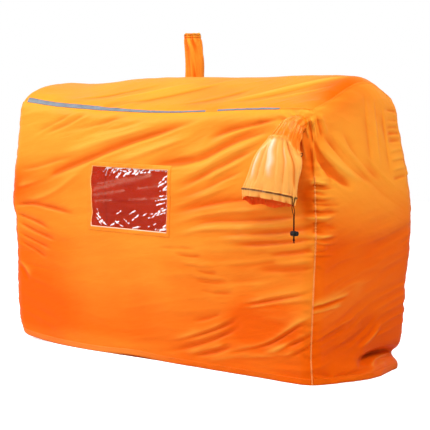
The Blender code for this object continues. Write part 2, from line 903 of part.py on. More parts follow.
for part in np.linspace(0, 1, int(coil_turns * 14) + 1):
    angle = part * coil_turns * 2 * math.pi
    along = coil_start + (coil_end - coil_start) * part
    round_it = (coil_radius * math.cos(angle), coil_radius * math.sin(angle))
    coil.append(lock_middle + np.array((along, *round_it)))
tube("cord_lock_spring", coil, coil_wire, "spring steel", tuple(lock_middle), sides=1)

# Keeper: a small black loop on the sleeve's right side.
keeper_at = 3.5
keeper_reach = 0.085
keeper_radius = 0.0010
keeper_height = 0.0082
keeper_lift = skin + 0.0005
keeper = []
for part in np.linspace(0, math.pi, 15):
    lift = keeper_lift + keeper_height * math.sin(part)
    at = keeper_at - keeper_reach * math.cos(part)
    keeper.append(sleeve_point(front_vent, at, 0.0, np.array(lift)))
tube("keeper_loop", keeper, keeper_radius, "black cord", front_hinge)

for piece in bpy.data.objects:
    if piece.type == "MESH":
        piece.data.shade_smooth()
        piece.data.set_sharp_from_angle(angle=math.radians(50))
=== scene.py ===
import json
import math

import bmesh
import bpy
import numpy as np
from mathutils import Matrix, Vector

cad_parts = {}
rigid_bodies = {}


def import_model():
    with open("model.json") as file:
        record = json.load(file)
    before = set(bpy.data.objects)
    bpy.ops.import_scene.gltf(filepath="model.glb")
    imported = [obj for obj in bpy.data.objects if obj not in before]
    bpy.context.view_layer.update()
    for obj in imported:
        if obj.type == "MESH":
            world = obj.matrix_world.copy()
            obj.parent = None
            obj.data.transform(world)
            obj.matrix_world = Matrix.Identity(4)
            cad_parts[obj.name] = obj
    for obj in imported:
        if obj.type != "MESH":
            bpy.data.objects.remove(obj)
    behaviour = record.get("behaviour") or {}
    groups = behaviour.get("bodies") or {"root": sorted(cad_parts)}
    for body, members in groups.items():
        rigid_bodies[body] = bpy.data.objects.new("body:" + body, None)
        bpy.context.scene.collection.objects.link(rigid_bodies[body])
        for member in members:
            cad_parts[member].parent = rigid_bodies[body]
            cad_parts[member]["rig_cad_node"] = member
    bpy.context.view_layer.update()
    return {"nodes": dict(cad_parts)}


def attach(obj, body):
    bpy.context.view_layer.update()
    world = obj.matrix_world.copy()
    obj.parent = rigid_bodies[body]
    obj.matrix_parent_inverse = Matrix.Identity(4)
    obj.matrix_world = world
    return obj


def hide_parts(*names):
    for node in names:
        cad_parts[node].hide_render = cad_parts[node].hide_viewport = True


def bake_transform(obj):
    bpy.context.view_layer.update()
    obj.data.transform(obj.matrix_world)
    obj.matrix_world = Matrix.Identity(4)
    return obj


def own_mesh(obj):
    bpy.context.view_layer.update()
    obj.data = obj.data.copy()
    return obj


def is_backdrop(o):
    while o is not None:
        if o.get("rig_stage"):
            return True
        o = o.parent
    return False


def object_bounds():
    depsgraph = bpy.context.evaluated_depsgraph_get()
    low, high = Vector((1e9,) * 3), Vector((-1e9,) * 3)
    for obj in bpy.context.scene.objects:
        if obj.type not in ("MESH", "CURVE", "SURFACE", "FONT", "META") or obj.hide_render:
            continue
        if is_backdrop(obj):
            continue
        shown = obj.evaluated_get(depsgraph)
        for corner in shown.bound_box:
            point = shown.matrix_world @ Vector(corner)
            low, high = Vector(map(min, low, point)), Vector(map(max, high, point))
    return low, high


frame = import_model()
print("frame loaded:", len(frame["nodes"]), "nodes")

# The camera stands to the right of the front wall, a little above its middle.
view = {"place": (3.9559, -4.163, 0.998), "target": (0.0495, 0.0261, 0.497), "lens": 133.95, "sensor": 36}

# The plain box under the cloth. The front wall is at -Y, the right end at +X.
shelter = {
    "leftX": -0.735, "rightX": 0.710, "frontY": -0.235, "rearY": 0.255,
    "wallHeight": 0.896, "cornerRadius": 0.055, "shiftX": 0.0129, "shiftY": -0.008,
}
leftX, rightX = shelter["leftX"], shelter["rightX"]
frontY, rearY = shelter["frontY"], shelter["rearY"]
wallHeight, cornerRadius = shelter["wallHeight"], shelter["cornerRadius"]
crown = wallHeight + 0.034
everywhere = 1e9

# Where the cloth is pushed out, tucked or lifted: middle, reach along each axis, push.
slumps = [
    ((leftX, 0.00, 0.52), (0.20, everywhere, 0.30), (-0.042, 0, 0)),
    ((leftX, -0.10, 0.61), (0.16, 0.30, 0.08), (-0.012, 0, 0)),
    ((leftX, -0.10, 0.52), (0.16, 0.30, 0.045), (-0.015, 0, 0)),
    ((leftX, -0.10, 0.17), (0.16, 0.30, 0.14), (-0.026, 0, 0)),
    ((leftX, -0.10, 0.03), (0.16, 0.30, 0.10), (-0.010, 0, 0)),
    ((rightX, 0.06, 0.50), (0.18, 0.40, 0.26), (0.035, 0, 0)),
    ((rightX, 0.16, 0.17), (0.16, 0.22, 0.13), (0.026, 0, 0)),
    ((rightX - 0.05, rearY, 0.50), (0.28, 0.22, 0.24), (0.006, 0.026, 0)),
    ((rightX, rearY, wallHeight - 0.046), (0.12, 0.14, 0.10), (-0.010, -0.012, 0.004)),
    ((0.10, frontY, 0.42), (0.55, 0.22, 0.30), (0, -0.014, 0)),
    ((-0.33, frontY, 0.02), (0.22, 0.18, 0.14), (0, -0.016, 0)),
    ((-0.10, rearY, 0.42), (0.60, 0.22, 0.30), (0, 0.018, 0)),
    ((0.00, 0.03, crown), (3.00, 0.175, 0.20), (0, 0, 0.096)),
    ((0.56, 0.09, crown), (0.24, 0.15, 0.16), (0.004, 0, 0.012)),
    ((-0.60, 0.02, crown), (0.22, 0.15, 0.16), (0, 0, -0.024)),
    ((leftX, -0.15, wallHeight + 0.014), (0.16, 0.11, 0.12), (0.010, 0, 0.030)),
    ((0.00, frontY, wallHeight - 0.016), (0.36, 0.11, 0.12), (0, 0, -0.022)),
    ((leftX, -0.10, 0.0), (0.15, 0.30, 0.12), (0, 0, 0.018)),
    ((-0.10, frontY, 0.0), (0.10, 0.10, 0.08), (0, 0, 0.006)),
    ((rightX, 0.20, 0.050), (0.12, 0.15, 0.022), (-0.026, -0.012, 0)),
    ((rightX, 0.00, 0.0), (0.12, 0.15, 0.055), (0.056, 0, 0)),
    ((leftX, frontY, 0.0), (0.055, 0.09, 0.045), (0.010, 0, 0.012)),
]

# Single folds of each wall, in millimetres: half width, height (a valley is negative) and the places
# that the fold's line runs through.
foldRows = {
    "front": [
        (15, -6.2, (260, 868), (100, 825), (-50, 782), (-200, 735), (-340, 690), (-460, 652), (-570, 610),
         (-670, 560)),
        (14, 3.6, (200, 800), (40, 755), (-110, 708), (-240, 685)),
        (20, 4, (100, 860), (-80, 810), (-250, 765), (-420, 720), (-580, 690)),
        (9, -2.6, (-330, 865), (-450, 815), (-600, 765)),
        (9, -2.2, (-400, 865), (-520, 815), (-640, 765)),
        (9, -2, (-120, 870), (-280, 825), (-440, 790)),
        (9, -1.8, (-20, 860), (-160, 820), (-300, 790), (-420, 755)),
        (12, -2.8, (-700, 640), (-600, 655), (-480, 690), (-360, 722)),
        (14, 3, (-700, 520), (-600, 535), (-500, 575), (-400, 635), (-320, 672)),
        (12, 3, (-700, 575), (-600, 600), (-500, 640)),
        (7.5, -5.6, (-720, 500), (-620, 515), (-520, 505), (-400, 490)),
        (7.5, -5.2, (-710, 475), (-620, 455), (-520, 420)),
        (7.5, -5.2, (-700, 445), (-600, 410), (-500, 385)),
        (7.5, -5, (-700, 405), (-610, 375), (-520, 350)),
        (7.5, -4.6, (-690, 370), (-620, 345), (-550, 315)),
        (9, 3.2, (-700, 300), (-660, 270), (-630, 235)),
        (9, -2.8, (-700, 282), (-670, 252), (-645, 220)),
        (10, -5, (585, 852), (500, 838), (420, 823), (330, 805), (240, 775)),
        (15, -4.8, (585, 825), (480, 800), (360, 765), (220, 710), (60, 690), (-80, 685)),
        (12, 3, (500, 835), (380, 802), (220, 742), (40, 705)),
        (12, 3.4, (520, 790), (380, 742), (240, 685), (85, 630)),
        (13, -4.2, (500, 765), (360, 708), (220, 650), (85, 600)),
        (10, 2.8, (430, 715), (330, 676), (240, 638)),
        (11, -3.2, (450, 692), (340, 652), (240, 612), (90, 562)),
        (10, 2.8, (400, 642), (280, 602), (160, 562), (85, 540)),
        (12, -4.2, (600, 605), (460, 590), (320, 572), (200, 548), (85, 515)),
        (12, 3.8, (630, 577), (470, 558), (330, 542), (200, 518), (85, 480)),
        (11, -4.2, (700, 556), (560, 533), (420, 518), (260, 502), (120, 462)),
        (10, 4, (710, 537), (580, 512), (420, 494), (240, 478), (100, 444)),
        (8, -3.8, (710, 517), (600, 494), (460, 476), (280, 462)),
        (8, 3.6, (710, 494), (590, 473), (450, 459), (300, 448)),
        (7, -3.4, (710, 480), (600, 457), (480, 443), (350, 434)),
        (9, 3.2, (710, 458), (600, 438), (500, 425)),
        (9, -3.2, (710, 440), (620, 425), (520, 410)),
        (9, 2.6, (710, 410), (620, 395), (540, 385)),
        (9, -2.6, (710, 385), (600, 368), (480, 357)),
        (5.5, -1.6, (20, 402), (120, 405), (220, 408)),
        (5.5, -2.2, (100, 385), (180, 380), (240, 385)),
        (5.5, 2.2, (120, 360), (220, 355), (300, 360)),
        (5.5, -2.4, (200, 335), (260, 330), (310, 332)),
        (5.5, -1.8, (200, 300), (280, 297), (360, 305)),
        (5.5, 2.4, (180, 318), (270, 315), (360, 320)),
        (5.5, -2, (220, 268), (300, 264), (380, 270)),
        (8, 4, (380, 235), (470, 257), (570, 283), (650, 303), (730, 328)),
        (7, 2.4, (400, 222), (520, 248), (630, 270), (730, 288)),
        (7, -3, (430, 236), (520, 257), (630, 284), (720, 305)),
        (8, 4.2, (730, 240), (670, 212), (610, 175), (550, 137), (480, 108), (380, 82), (280, 48)),
        (7, -3.6, (720, 216), (650, 186), (590, 150), (530, 118), (440, 92), (340, 62)),
        (7, 3.4, (730, 188), (670, 160), (610, 128), (560, 102), (500, 85)),
        (6, -2.6, (720, 170), (660, 142), (600, 110)),
        (7, 3.2, (730, 152), (680, 128), (630, 102), (570, 78)),
        (6, -2.6, (720, 136), (670, 112), (620, 88)),
        (8, 3.4, (410, 208), (330, 168), (250, 135), (150, 102), (40, 70)),
        (7, -3.6, (410, 192), (330, 153), (240, 120), (130, 85)),
        (7, 2.8, (390, 165), (310, 130), (220, 100), (80, 58)),
        (9, -4.8, (420, 165), (340, 128), (260, 95), (150, 60), (0, 22)),
        (10, 3.6, (350, 100), (260, 70), (140, 40)),
        (9, -4, (380, 95), (300, 65), (180, 35)),
        (9, 2.2, (600, 88), (480, 70), (360, 52), (240, 30)),
        (9, -3, (330, 200), (260, 175), (180, 155)),
        (10, -5, (690, 800), (695, 740), (700, 660)),
        (5, 4.2, (672, 852), (688, 800), (698, 745)),
        (5, -4.2, (684, 856), (701, 810), (708, 760)),
        (5, 4.2, (694, 862), (712, 825), (722, 780)),
        (4.5, 3, (660, 800), (672, 760), (678, 715)),
    ],
    "right": [
        (12, -8, (-235, 745), (-195, 705), (-145, 668), (-100, 642), (-50, 625)),
        (14, 5, (-235, 790), (-190, 745), (-130, 700), (-70, 665), (0, 640)),
        (10, -3.6, (-190, 800), (-150, 755), (-90, 700), (-20, 655), (50, 630)),
        (12, 3, (-150, 800), (-90, 740), (-20, 690), (50, 650)),
        (10, -2.6, (-100, 790), (-50, 725), (20, 670), (80, 640)),
        (18, -7, (-240, 800), (-215, 750), (-180, 690), (-150, 640)),
        (5.5, 4, (-236, 868), (-224, 822), (-212, 775)),
        (5, -3.6, (-218, 866), (-204, 826), (-190, 785)),
        (5, 3, (-200, 862), (-184, 826), (-168, 792)),
        (12, -2, (20, 860), (30, 760), (40, 670)),
        (10, 2, (70, 860), (75, 760), (80, 660)),
        (10, -2, (120, 840), (125, 750), (130, 640)),
        (6, 3.6, (-265, 256), (-170, 271), (-60, 289)),
        (5, -2.8, (-255, 247), (-160, 261), (-80, 275)),
        (5, 2.4, (-265, 232), (-170, 245), (-100, 253)),
        (7, 3.6, (-235, 140), (-160, 165), (-90, 190), (-20, 212)),
        (10, -4, (-210, 133), (-140, 152), (-70, 175)),
        (12, -4, (-100, 100), (-30, 125), (30, 165), (70, 215)),
        (12, 3.6, (-120, 115), (-50, 140), (10, 175)),
        (12, -3.6, (-20, 100), (40, 135), (80, 180)),
        (11, 3.6, (0, 95), (55, 130), (95, 175)),
        (13, -22, (250, 60), (180, 66), (100, 68), (30, 55), (-40, 40)),
        (10, 3.4, (220, 88), (140, 90), (50, 82), (-20, 66)),
        (10, 2.4, (200, 30), (100, 34), (20, 26), (-60, 16)),
        (8, -8, (50, 35), (-20, 28), (-100, 20), (-150, 18)),
        (8, -6, (-225, 36), (-180, 30), (-140, 16)),
        (8, -5, (230, 795), (255, 785)),
        (8, -6, (210, 745), (255, 735)),
        (8, -6, (210, 700), (255, 690)),
        (10, 4, (220, 665), (255, 660)),
    ],
    "roof": [
        (12, 3.6, (260, -190), (420, -120), (600, -30), (680, 20)),
        (10, -3, (300, -190), (460, -130), (620, -50)),
        (10, 2.8, (400, -200), (540, -140), (680, -70)),
        (9, -2.4, (-470, -200), (-320, -140), (-120, -60)),
        (10, -2.4, (-220, -200), (-20, -130), (180, -50)),
        (12, 2.6, (-340, -190), (-150, -120), (50, -40)),
        (10, -2.2, (50, -200), (220, -150), (360, -80)),
    ],
    "rear": [
        (24, -8, (-280, 800), (-100, 700), (120, 620), (340, 580)),
        (20, 6, (-240, 760), (-50, 660), (180, 580), (420, 550)),
        (20, -7, (-360, 780), (-480, 660), (-620, 570)),
        (18, 5, (-320, 750), (-420, 620), (-560, 520)),
        (24, -7, (-700, 300), (-400, 360), (-100, 340), (160, 380)),
        (18, 5, (620, 620), (400, 480), (160, 440)),
        (18, -6, (680, 200), (460, 140), (260, 60)),
        (14, 5, (-600, 80), (-400, 150), (-200, 160)),
    ],
    "left": [
        (20, -6, (-220, 620), (-50, 550), (140, 570)),
        (16, 5, (-220, 500), (-40, 460), (160, 480)),
        (16, -5, (-220, 340), (-60, 290), (120, 220)),
        (18, -5, (220, 820), (100, 720), (0, 660)),
    ],
}
folds = [
    (face, row[0] / 1000, row[1] / 1000, np.array(row[2:]) / 1000)
    for face, rows in foldRows.items() for row in rows
]

# A fold is short and steep on its lower side, long and gentle on its upper side. Sizes are in half widths.
foldShape = {
    "height": 1.3, "reach": 5.8, "steep": 0.60, "gentle": 1.50, "trough": 0.22, "lowSide": (0.25, 0.30, -1.0),
}


def smooth(values, at):
    # a smooth line through the given values, read at any place along it
    values = np.asarray(values, float)
    at = np.clip(np.asarray(at, float), 0, len(values) - 1)
    number = np.minimum(at.astype(int), len(values) - 2)
    part = (at - number)[..., None]
    before = values[np.maximum(number - 1, 0)]
    first, second = values[number], values[number + 1]
    after = values[np.minimum(number + 2, len(values) - 1)]
    lead, follow = (second - before) / 2, (after - first) / 2
    return (
        first * (2 * part**3 - 3 * part**2 + 1)
        + lead * (part**3 - 2 * part**2 + part)
        + second * (3 * part**2 - 2 * part**3)
        + follow * (part**3 - part**2)
    )


def ease(value, start, end):
    part = np.clip((value - start) / (end - start), 0, 1)
    return part * part * (3 - 2 * part)


def bell(value, middle, width):
    return np.exp(-(((value - middle) / width) ** 2))


def patch(points, middle, size):
    # 1 at the middle, falling away softly over the size along each axis
    return np.exp(-np.sum(((points - middle) / size) ** 2, axis=-1))


def noise(seed, *cells):
    # soft random hills between -1 and 1, the same each run, from places in cells along each axis
    places = np.stack(np.broadcast_arrays(*cells), -1) + seed * 17.31
    cell = np.floor(places)
    part = places - cell
    part = part * part * part * (part * (part * 6 - 15) + 10)
    total = np.zeros(places.shape[:-1])
    size = places.shape[-1]
    spreadOut = np.array((127.1, 311.7, 74.7))[:size]
    for corner in range(2**size):
        steps = np.array([(corner >> axis) & 1 for axis in range(size)], float)
        mark = np.sin((cell + steps) @ spreadOut) * 43758.5453
        value = 2 * (mark - np.floor(mark)) - 1
        total += value * np.prod(np.where(steps > 0, part, 1 - part), axis=-1)
    return total


def grid(a, b):
    return np.meshgrid(a, b, indexing="ij")


def lengths(line):
    # how far along the line each of its points lies
    return np.concatenate([[0], np.cumsum(np.linalg.norm(np.diff(line, axis=0), axis=1))])


def unit(vectors):
    return vectors / np.linalg.norm(vectors, axis=-1, keepdims=True)


def wallPoint(face, a, b):
    a, b = np.broadcast_arrays(np.asarray(a, float), np.asarray(b, float))
    whole = np.ones_like(a)
    sides = {
        "front": (a, whole * frontY, b), "rear": (a, whole * rearY, b),
        "left": (whole * leftX, a, b), "right": (whole * rightX, a, b),
        "roof": (a, b, whole * wallHeight),
    }
    return np.stack(sides[face], -1)


pleats = np.random.default_rng(7)
for level in np.cumsum(pleats.uniform(0.0065, 0.0130, 26)) + 0.415:
    # short uneven pleats that run out from the front right seam, on both walls
    height = pleats.uniform(0.0022, 0.0050) * pleats.choice([-1, -1, 1])
    length, drop = pleats.uniform(0.060, 0.150), pleats.uniform(-0.006, 0.014)
    for face, size, outside, seam, end in (
        ("right", 1.0, -0.268, -0.235, length - 0.255), ("front", 0.7, 0.748, 0.715, 0.725 - 0.6 * length),
    ):
        line = [(outside, level + 0.003), (seam, level), (end, level - drop)]
        folds.append((face, 0.0050, size * height, line))

drags = np.random.default_rng(11)
for face, start, end in (
    ("rear", rightX, 0.20), ("rear", leftX, -0.36), ("left", rearY, 0.02), ("left", frontY, -0.01),
):
    # soft drag folds that run in from the corner seams on the sides away from the window
    for level in np.cumsum(drags.uniform(0.040, 0.075, 12)) + 0.03:
        height = drags.uniform(0.0024, 0.0042) * drags.choice([-1, 1])
        far, drop = (end - start) * drags.uniform(0.45, 1.0), drags.uniform(-0.01, 0.07)
        middle = (start + far * 0.35, level - 0.35 * drop)
        line = [(start, level + 0.004), middle, (start + far, level - drop)]
        folds.append((face, drags.uniform(0.007, 0.011), height, line))
for level in np.cumsum(drags.uniform(0.014, 0.030, 9)) + 0.625:
    # puckers beside the rear right seam
    height = drags.uniform(0.0022, 0.0040) * drags.choice([-1, -1, 1])
    line = [(0.135, level - 0.014), (0.185, level - 0.004), (0.225, level + 0.003)]
    folds.append(("right", 0.006, height, line))

foldLines = []
facing = {"front": (0, -1, 0), "rear": (0, 1, 0), "left": (-1, 0, 0), "right": (1, 0, 0), "roof": (0, 0, 1)}
for face, halfWidth, height, line in folds:
    stations = np.linspace(0, len(line) - 1, 4 * (len(line) - 1) + 1)
    line = wallPoint(face, *smooth(line, stations).T)
    sideways = np.cross(facing[face], np.gradient(line, axis=0))
    steep = np.sign(sideways[len(line) // 2] @ foldShape["lowSide"]) or 1.0
    foldLines.append((line, sideways * steep, halfWidth, height))


def foldHeight(points):
    # how far the single folds lift the cloth at each point of the plain box
    shape = points.shape[:-1]
    points = points.reshape(-1, 3)
    total = np.zeros(len(points))
    for line, sideways, halfWidth, height in foldLines:
        reach = halfWidth * foldShape["reach"]
        near = np.all((points > line.min(0) - reach) & (points < line.max(0) + reach), axis=1)
        if not near.any():
            continue
        some = points[near]
        best = np.full(len(some), everywhere)
        along, under = np.zeros(len(some)), np.zeros(len(some))
        count = len(line) - 1
        for k in range(count):
            start, run = line[k], line[k + 1] - line[k]
            part = np.clip(((some - start) @ run) / max(run @ run, 1e-12), 0, 1)
            away = np.linalg.norm(some - start - part[:, None] * run, axis=1)
            closer = away < best
            best = np.where(closer, away, best)
            along = np.where(closer, (k + part) / count, along)
            under = np.where(closer, (some - start) @ sideways[k] > 0, under)
        wide = np.where(under, foldShape["steep"], foldShape["gentle"])
        steps = best / (halfWidth * (0.75 + 0.5 * along) * wide)
        hump = np.exp(-1.3 * (np.sqrt(steps * steps + 0.05) - 0.2236)) * ease(3.0 - steps, 0, 1.6)
        hump -= under * foldShape["trough"] * bell(steps, 1.8, 0.7)
        total[near] += foldShape["height"] * height * hump * ease(along, 0, 0.30) * ease(1 - along, 0, 0.34)
    return total.reshape(shape)


# Smaller creases that follow the pull of the cloth: height, size across and along in metres, sharpness.
crease = {
    "broad": (0.0046, 0.095, 0.42, 0.35), "middle": (0.0032, 0.038, 0.24, 0.9),
    "small": (0.0014, 0.017, 0.110, 0.9),
}


def creaseField(across, along, seed):
    total = 0
    for height, sizeAcross, sizeAlong, sharp in crease.values():
        value = noise(seed, across / sizeAcross, along / sizeAlong)
        ridged = 0.40 - np.sqrt(value * value + 0.002) * 1.25
        total = total + height * ((1 - sharp) * value + sharp * ridged)
        seed += 1.7
    return total


def creases(points):
    x, y, z = points[..., 0], points[..., 1], points[..., 2]
    wander = 0.035 * noise(5.0, x / 0.28, y / 0.28, z / 0.28)
    along = x + y + 0.3 * z
    upper = creaseField(-0.30 * x + 0.95 * z + 0.55 * y + wander, along, 1.0)
    lower = creaseField(z - 0.13 * x - 0.30 * y + wander, along, 2.0)
    leftSide = creaseField(z + 0.30 * x + 0.2 * y + wander, along, 3.0)
    high = ease(z, 0.44, 0.66)
    left = ease(-x, 0.30, 0.60) * (1 - high)
    mixed = high * upper + (1 - high) * ((1 - left) * lower + left * leftSide)
    busy = 0.62 + 0.55 * ease(x, -0.10, 0.55) * ease(0.80 - z, 0, 0.35) + 0.25 * left
    return mixed * busy


vents = {
    "height": wallHeight - 0.060, "halfWidth": 0.034, "halfHeight": 0.024,
    "frontX": rightX - 0.065, "rearX": -0.318, "hole": 0.93,
}

# Gathers where a seam is a little tighter than the cloth: line, gather, spacing, reach.
gathers = [
    ("upright", leftX, frontY, 0.0012, 0.013, 0.030),
    ("upright", rightX, frontY, 0.0030, 0.014, 0.040),
    ("upright", leftX, rearY, 0.0012, 0.014, 0.030),
    ("upright", rightX, rearY, 0.0017, 0.020, 0.036),
    ("long", frontY, wallHeight, 0.0012, 0.016, 0.024),
    ("long", rearY, wallHeight, 0.0014, 0.016, 0.028),
    ("foot", 0, 0, 0.0010, 0.034, 0.030),
]


def seamGathers(points):
    x, y, z = points[..., 0], points[..., 1], points[..., 2]
    total = 0
    for number, (kind, first, second, height, spacing, reach) in enumerate(gathers):
        if kind == "upright":
            away, run = np.hypot(x - first, y - second), z
        elif kind == "long":
            away, run = np.hypot(y - first, z - second), x
        else:
            away, run = z, x * 1.3 + y
        run = run / spacing + 0.6 * noise(9, run / 0.07, away / 0.05)
        total = total + height * noise(20 + number, run, away / 0.09) * np.exp(-away / reach)
    fromVent = np.sqrt((x - vents["frontX"]) ** 2 + (y - frontY) ** 2 + (z - vents["height"]) ** 2)
    turned = np.arctan2(z - vents["height"], x - vents["frontX"] + 0.6 * (y - frontY))
    around = noise(37, np.cos(turned) * 3.4, np.sin(turned) * 3.4, fromVent / 0.08)
    total = total + 0.0062 * around * bell(fromVent, 0.055, 0.040) * ease(0.895 - z, 0, 0.02)
    fromWindow = np.maximum(
        np.maximum(window["left"] - x, x - window["right"]),
        np.maximum(window["bottom"] - z, z - window["top"]),
    )
    onFront = ease(frontY + 0.02 - y, 0, 0.01)
    around = noise(31, (x + z) / 0.016, (x - z) / 0.016)
    return total + 0.0013 * around * np.exp(-np.abs(fromWindow) / 0.022) * onFront


window = {
    "left": -0.314, "right": 0.072, "bottom": 0.455, "top": 0.671,
    "lap": 0.012, "border": 0.015, "film": 0.0004, "step": 0.0019, "behind": 0.0030,
    "ringStep": 0.004, "binding": 0.0005,
}


def drape(points, lift=0.0, folded=1.0):
    # from a place on the plain box to its place on the hanging cloth
    low = (leftX + cornerRadius, frontY + cornerRadius, -everywhere)
    high = (rightX - cornerRadius, rearY - cornerRadius, wallHeight - cornerRadius)
    core = np.clip(points, low, high)
    rise = cornerRadius + np.asarray(lift, float) + np.zeros(points.shape[:-1])
    if folded:
        rise = rise + folded * (foldHeight(points) + creases(points) + seamGathers(points))
    moved = core + unit(points - core) * rise[..., None]
    result = moved + (shelter["shiftX"], shelter["shiftY"], 0)
    for middle, reach, push in slumps:
        result += patch(moved, middle, reach)[..., None] * push
    result[..., 2] = np.maximum(result[..., 2], 0.0008)
    return result


def drawnOut(a, b):
    # the cloth pulls the window's left edge out of line
    side = np.exp(-np.abs(a - window["left"]) / 0.03)
    return a - side * (0.0100 * bell(b, 0.607, 0.030) - 0.0020 * np.sin(b / 0.013))


# Materials
def makeNode(tree, kind, **settings):
    # each setting is an input or a property of the node, and a socket given for an input is linked to it
    node = tree.nodes.new(kind)
    for name, value in settings.items():
        if name not in node.inputs:
            setattr(node, name, value)
        elif isinstance(value, bpy.types.NodeSocket):
            tree.links.new(value, node.inputs[name])
        else:
            node.inputs[name].default_value = value
    return node


def makeGroup(name, dial, start, *gives):
    # a group that takes a Vector and one number
    group = bpy.data.node_groups.new(name, "ShaderNodeTree")
    group.interface.new_socket("Vector", in_out="INPUT", socket_type="NodeSocketVector")
    group.interface.new_socket(dial, in_out="INPUT", socket_type="NodeSocketFloat").default_value = start
    for label in gives:
        group.interface.new_socket(label, in_out="OUTPUT", socket_type="NodeSocketFloat")
    takes = group.nodes.new("NodeGroupInput")
    return group, takes.outputs["Vector"], takes.outputs[dial], group.nodes.new("NodeGroupOutput")


def useGroup(tree, group, **settings):
    return makeNode(tree, "ShaderNodeGroup", node_tree=group, **settings)


def calc(tree, kind, *values):
    node = makeNode(tree, "ShaderNodeMath", operation=kind)
    for socket, value in zip(node.inputs, values):
        if isinstance(value, (int, float)):
            socket.default_value = value
        else:
            tree.links.new(value, socket)
    return node.outputs[0]


def makeRange(tree, value, low, high, kind="SMOOTHSTEP"):
    node = makeNode(tree, "ShaderNodeMapRange", interpolation_type=kind, Value=value)
    node.inputs["From Min"].default_value = low
    node.inputs["From Max"].default_value = high
    return node.outputs[0]


def ridgeNoise(tree, place, scale, top, detail, rough, distorted):
    # noise turned back at its middle, which leaves sharp ridges
    node = makeNode(tree, "ShaderNodeTexNoise", Vector=place, Scale=scale, Detail=detail)
    node.inputs["Roughness"].default_value = rough
    node.inputs["Distortion"].default_value = distorted
    middle = calc(tree, "SUBTRACT", node.outputs[0], 0.5)
    return calc(tree, "SUBTRACT", top, calc(tree, "ABSOLUTE", middle))


def buildWeave():
    # plain weave: two thread directions passing over each other
    group, place, threads, gives = makeGroup("plainWeave", "Threads", 900.0, "Height", "Gap")
    split = makeNode(group, "ShaderNodeSeparateXYZ", Vector=place)
    waves = []
    for axis in ("X", "Y"):
        turned = calc(group, "MULTIPLY", split.outputs[axis], threads)
        waves.append(calc(group, "SINE", calc(group, "MULTIPLY", turned, 2 * math.pi)))
    group.links.new(calc(group, "MULTIPLY", *waves), gives.inputs["Height"])
    gap = calc(group, "MULTIPLY", *(calc(group, "ABSOLUTE", wave) for wave in waves))
    group.links.new(gap, gives.inputs["Gap"])
    return group


def buildCrinkle():
    # fine sharp crinkles of thin coated cloth, at two sizes
    group, place, size, gives = makeGroup("fineCrinkle", "Size", 30.0, "Height")
    large, small = (
        ridgeNoise(group, place, calc(group, "MULTIPLY", size, times), 0.25, *settings)
        for times, *settings in ((1.0, 3.0, 0.55, 0.6), (3.1, 2.0, 0.6, 1.1))
    )
    group.links.new(calc(group, "MULTIPLY_ADD", small, 0.35, large), gives.inputs["Height"])
    return group


def buildMottle():
    # broad soft patches in colour and gloss, such as dust and handling leave
    group, place, size, gives = makeGroup("softMottle", "Size", 4.0, "Mask")
    node = makeNode(group, "ShaderNodeTexNoise", Vector=place, Scale=size, Detail=4.0, Roughness=0.5)
    group.links.new(makeRange(group, node.outputs[0], 0.32, 0.68, "LINEAR"), gives.inputs["Mask"])
    return group


def buildPulled():
    # crisp little creases drawn out along the wall by the pull of the cloth
    group, place, size, gives = makeGroup("pulledCreases", "Size", 34.0, "Height")
    split = makeNode(group, "ShaderNodeSeparateXYZ", Vector=place)
    drawn = makeNode(
        group, "ShaderNodeCombineXYZ", X=calc(group, "MULTIPLY", split.outputs["X"], 0.20),
        Y=calc(group, "MULTIPLY", split.outputs["Y"], 0.30),
        Z=calc(group, "MULTIPLY_ADD", split.outputs["X"], -0.22, split.outputs["Z"]),
    ).outputs[0]
    large, small = (
        ridgeNoise(group, drawn, calc(group, "MULTIPLY", size, times), 0.2, 2.0, 0.45, 0.35)
        for times in (1.0, 2.3)
    )
    group.links.new(calc(group, "MULTIPLY_ADD", small, 0.45, large), gives.inputs["Height"])
    return group


weave, crinkle, mottle, pulled = buildWeave(), buildCrinkle(), buildMottle(), buildPulled()


def newMaterial(name):
    material = bpy.data.materials.new(name)
    material.use_nodes = True
    tree = material.node_tree
    return material, tree, tree.nodes["Principled BSDF"]


def objectPlace(tree):
    return tree.nodes.new("ShaderNodeTexCoord").outputs["Object"]


def mark(tree, label):
    # a value that the mesh carries at each point
    return makeNode(tree, "ShaderNodeAttribute", attribute_name=label).outputs["Fac"]


def colourMix(tree, factor, first, second):
    node = makeNode(tree, "ShaderNodeMix", data_type="RGBA")
    tree.links.new(factor, node.inputs["Factor"])
    for slot, value in ((6, first), (7, second)):
        if isinstance(value, tuple):
            node.inputs[slot].default_value = (*value, 1)
        else:
            tree.links.new(value, node.inputs[slot])
    return node.outputs[2]


def bump(tree, shader, height, distance, strength=1.0, before=None):
    node = makeNode(tree, "ShaderNodeBump", Strength=strength, Distance=distance)
    tree.links.new(height, node.inputs["Height"])
    if before is not None:
        tree.links.new(before, node.inputs["Normal"])
    tree.links.new(node.outputs[0], shader.inputs["Normal"])
    return node.outputs[0]


def paint(tree, shader, colour, gloss, specular=0.5):
    tree.links.new(colour, shader.inputs["Base Color"])
    tree.links.new(gloss, shader.inputs["Roughness"])
    shader.inputs["Specular IOR Level"].default_value = specular


def mixShaders(tree, factor, first, second, end):
    mix = makeNode(tree, "ShaderNodeMixShader", Fac=factor)
    tree.links.new(first.outputs[0], mix.inputs[1])
    tree.links.new(second.outputs[0], mix.inputs[2])
    tree.links.new(mix.outputs[0], tree.nodes[end].inputs["Surface"])


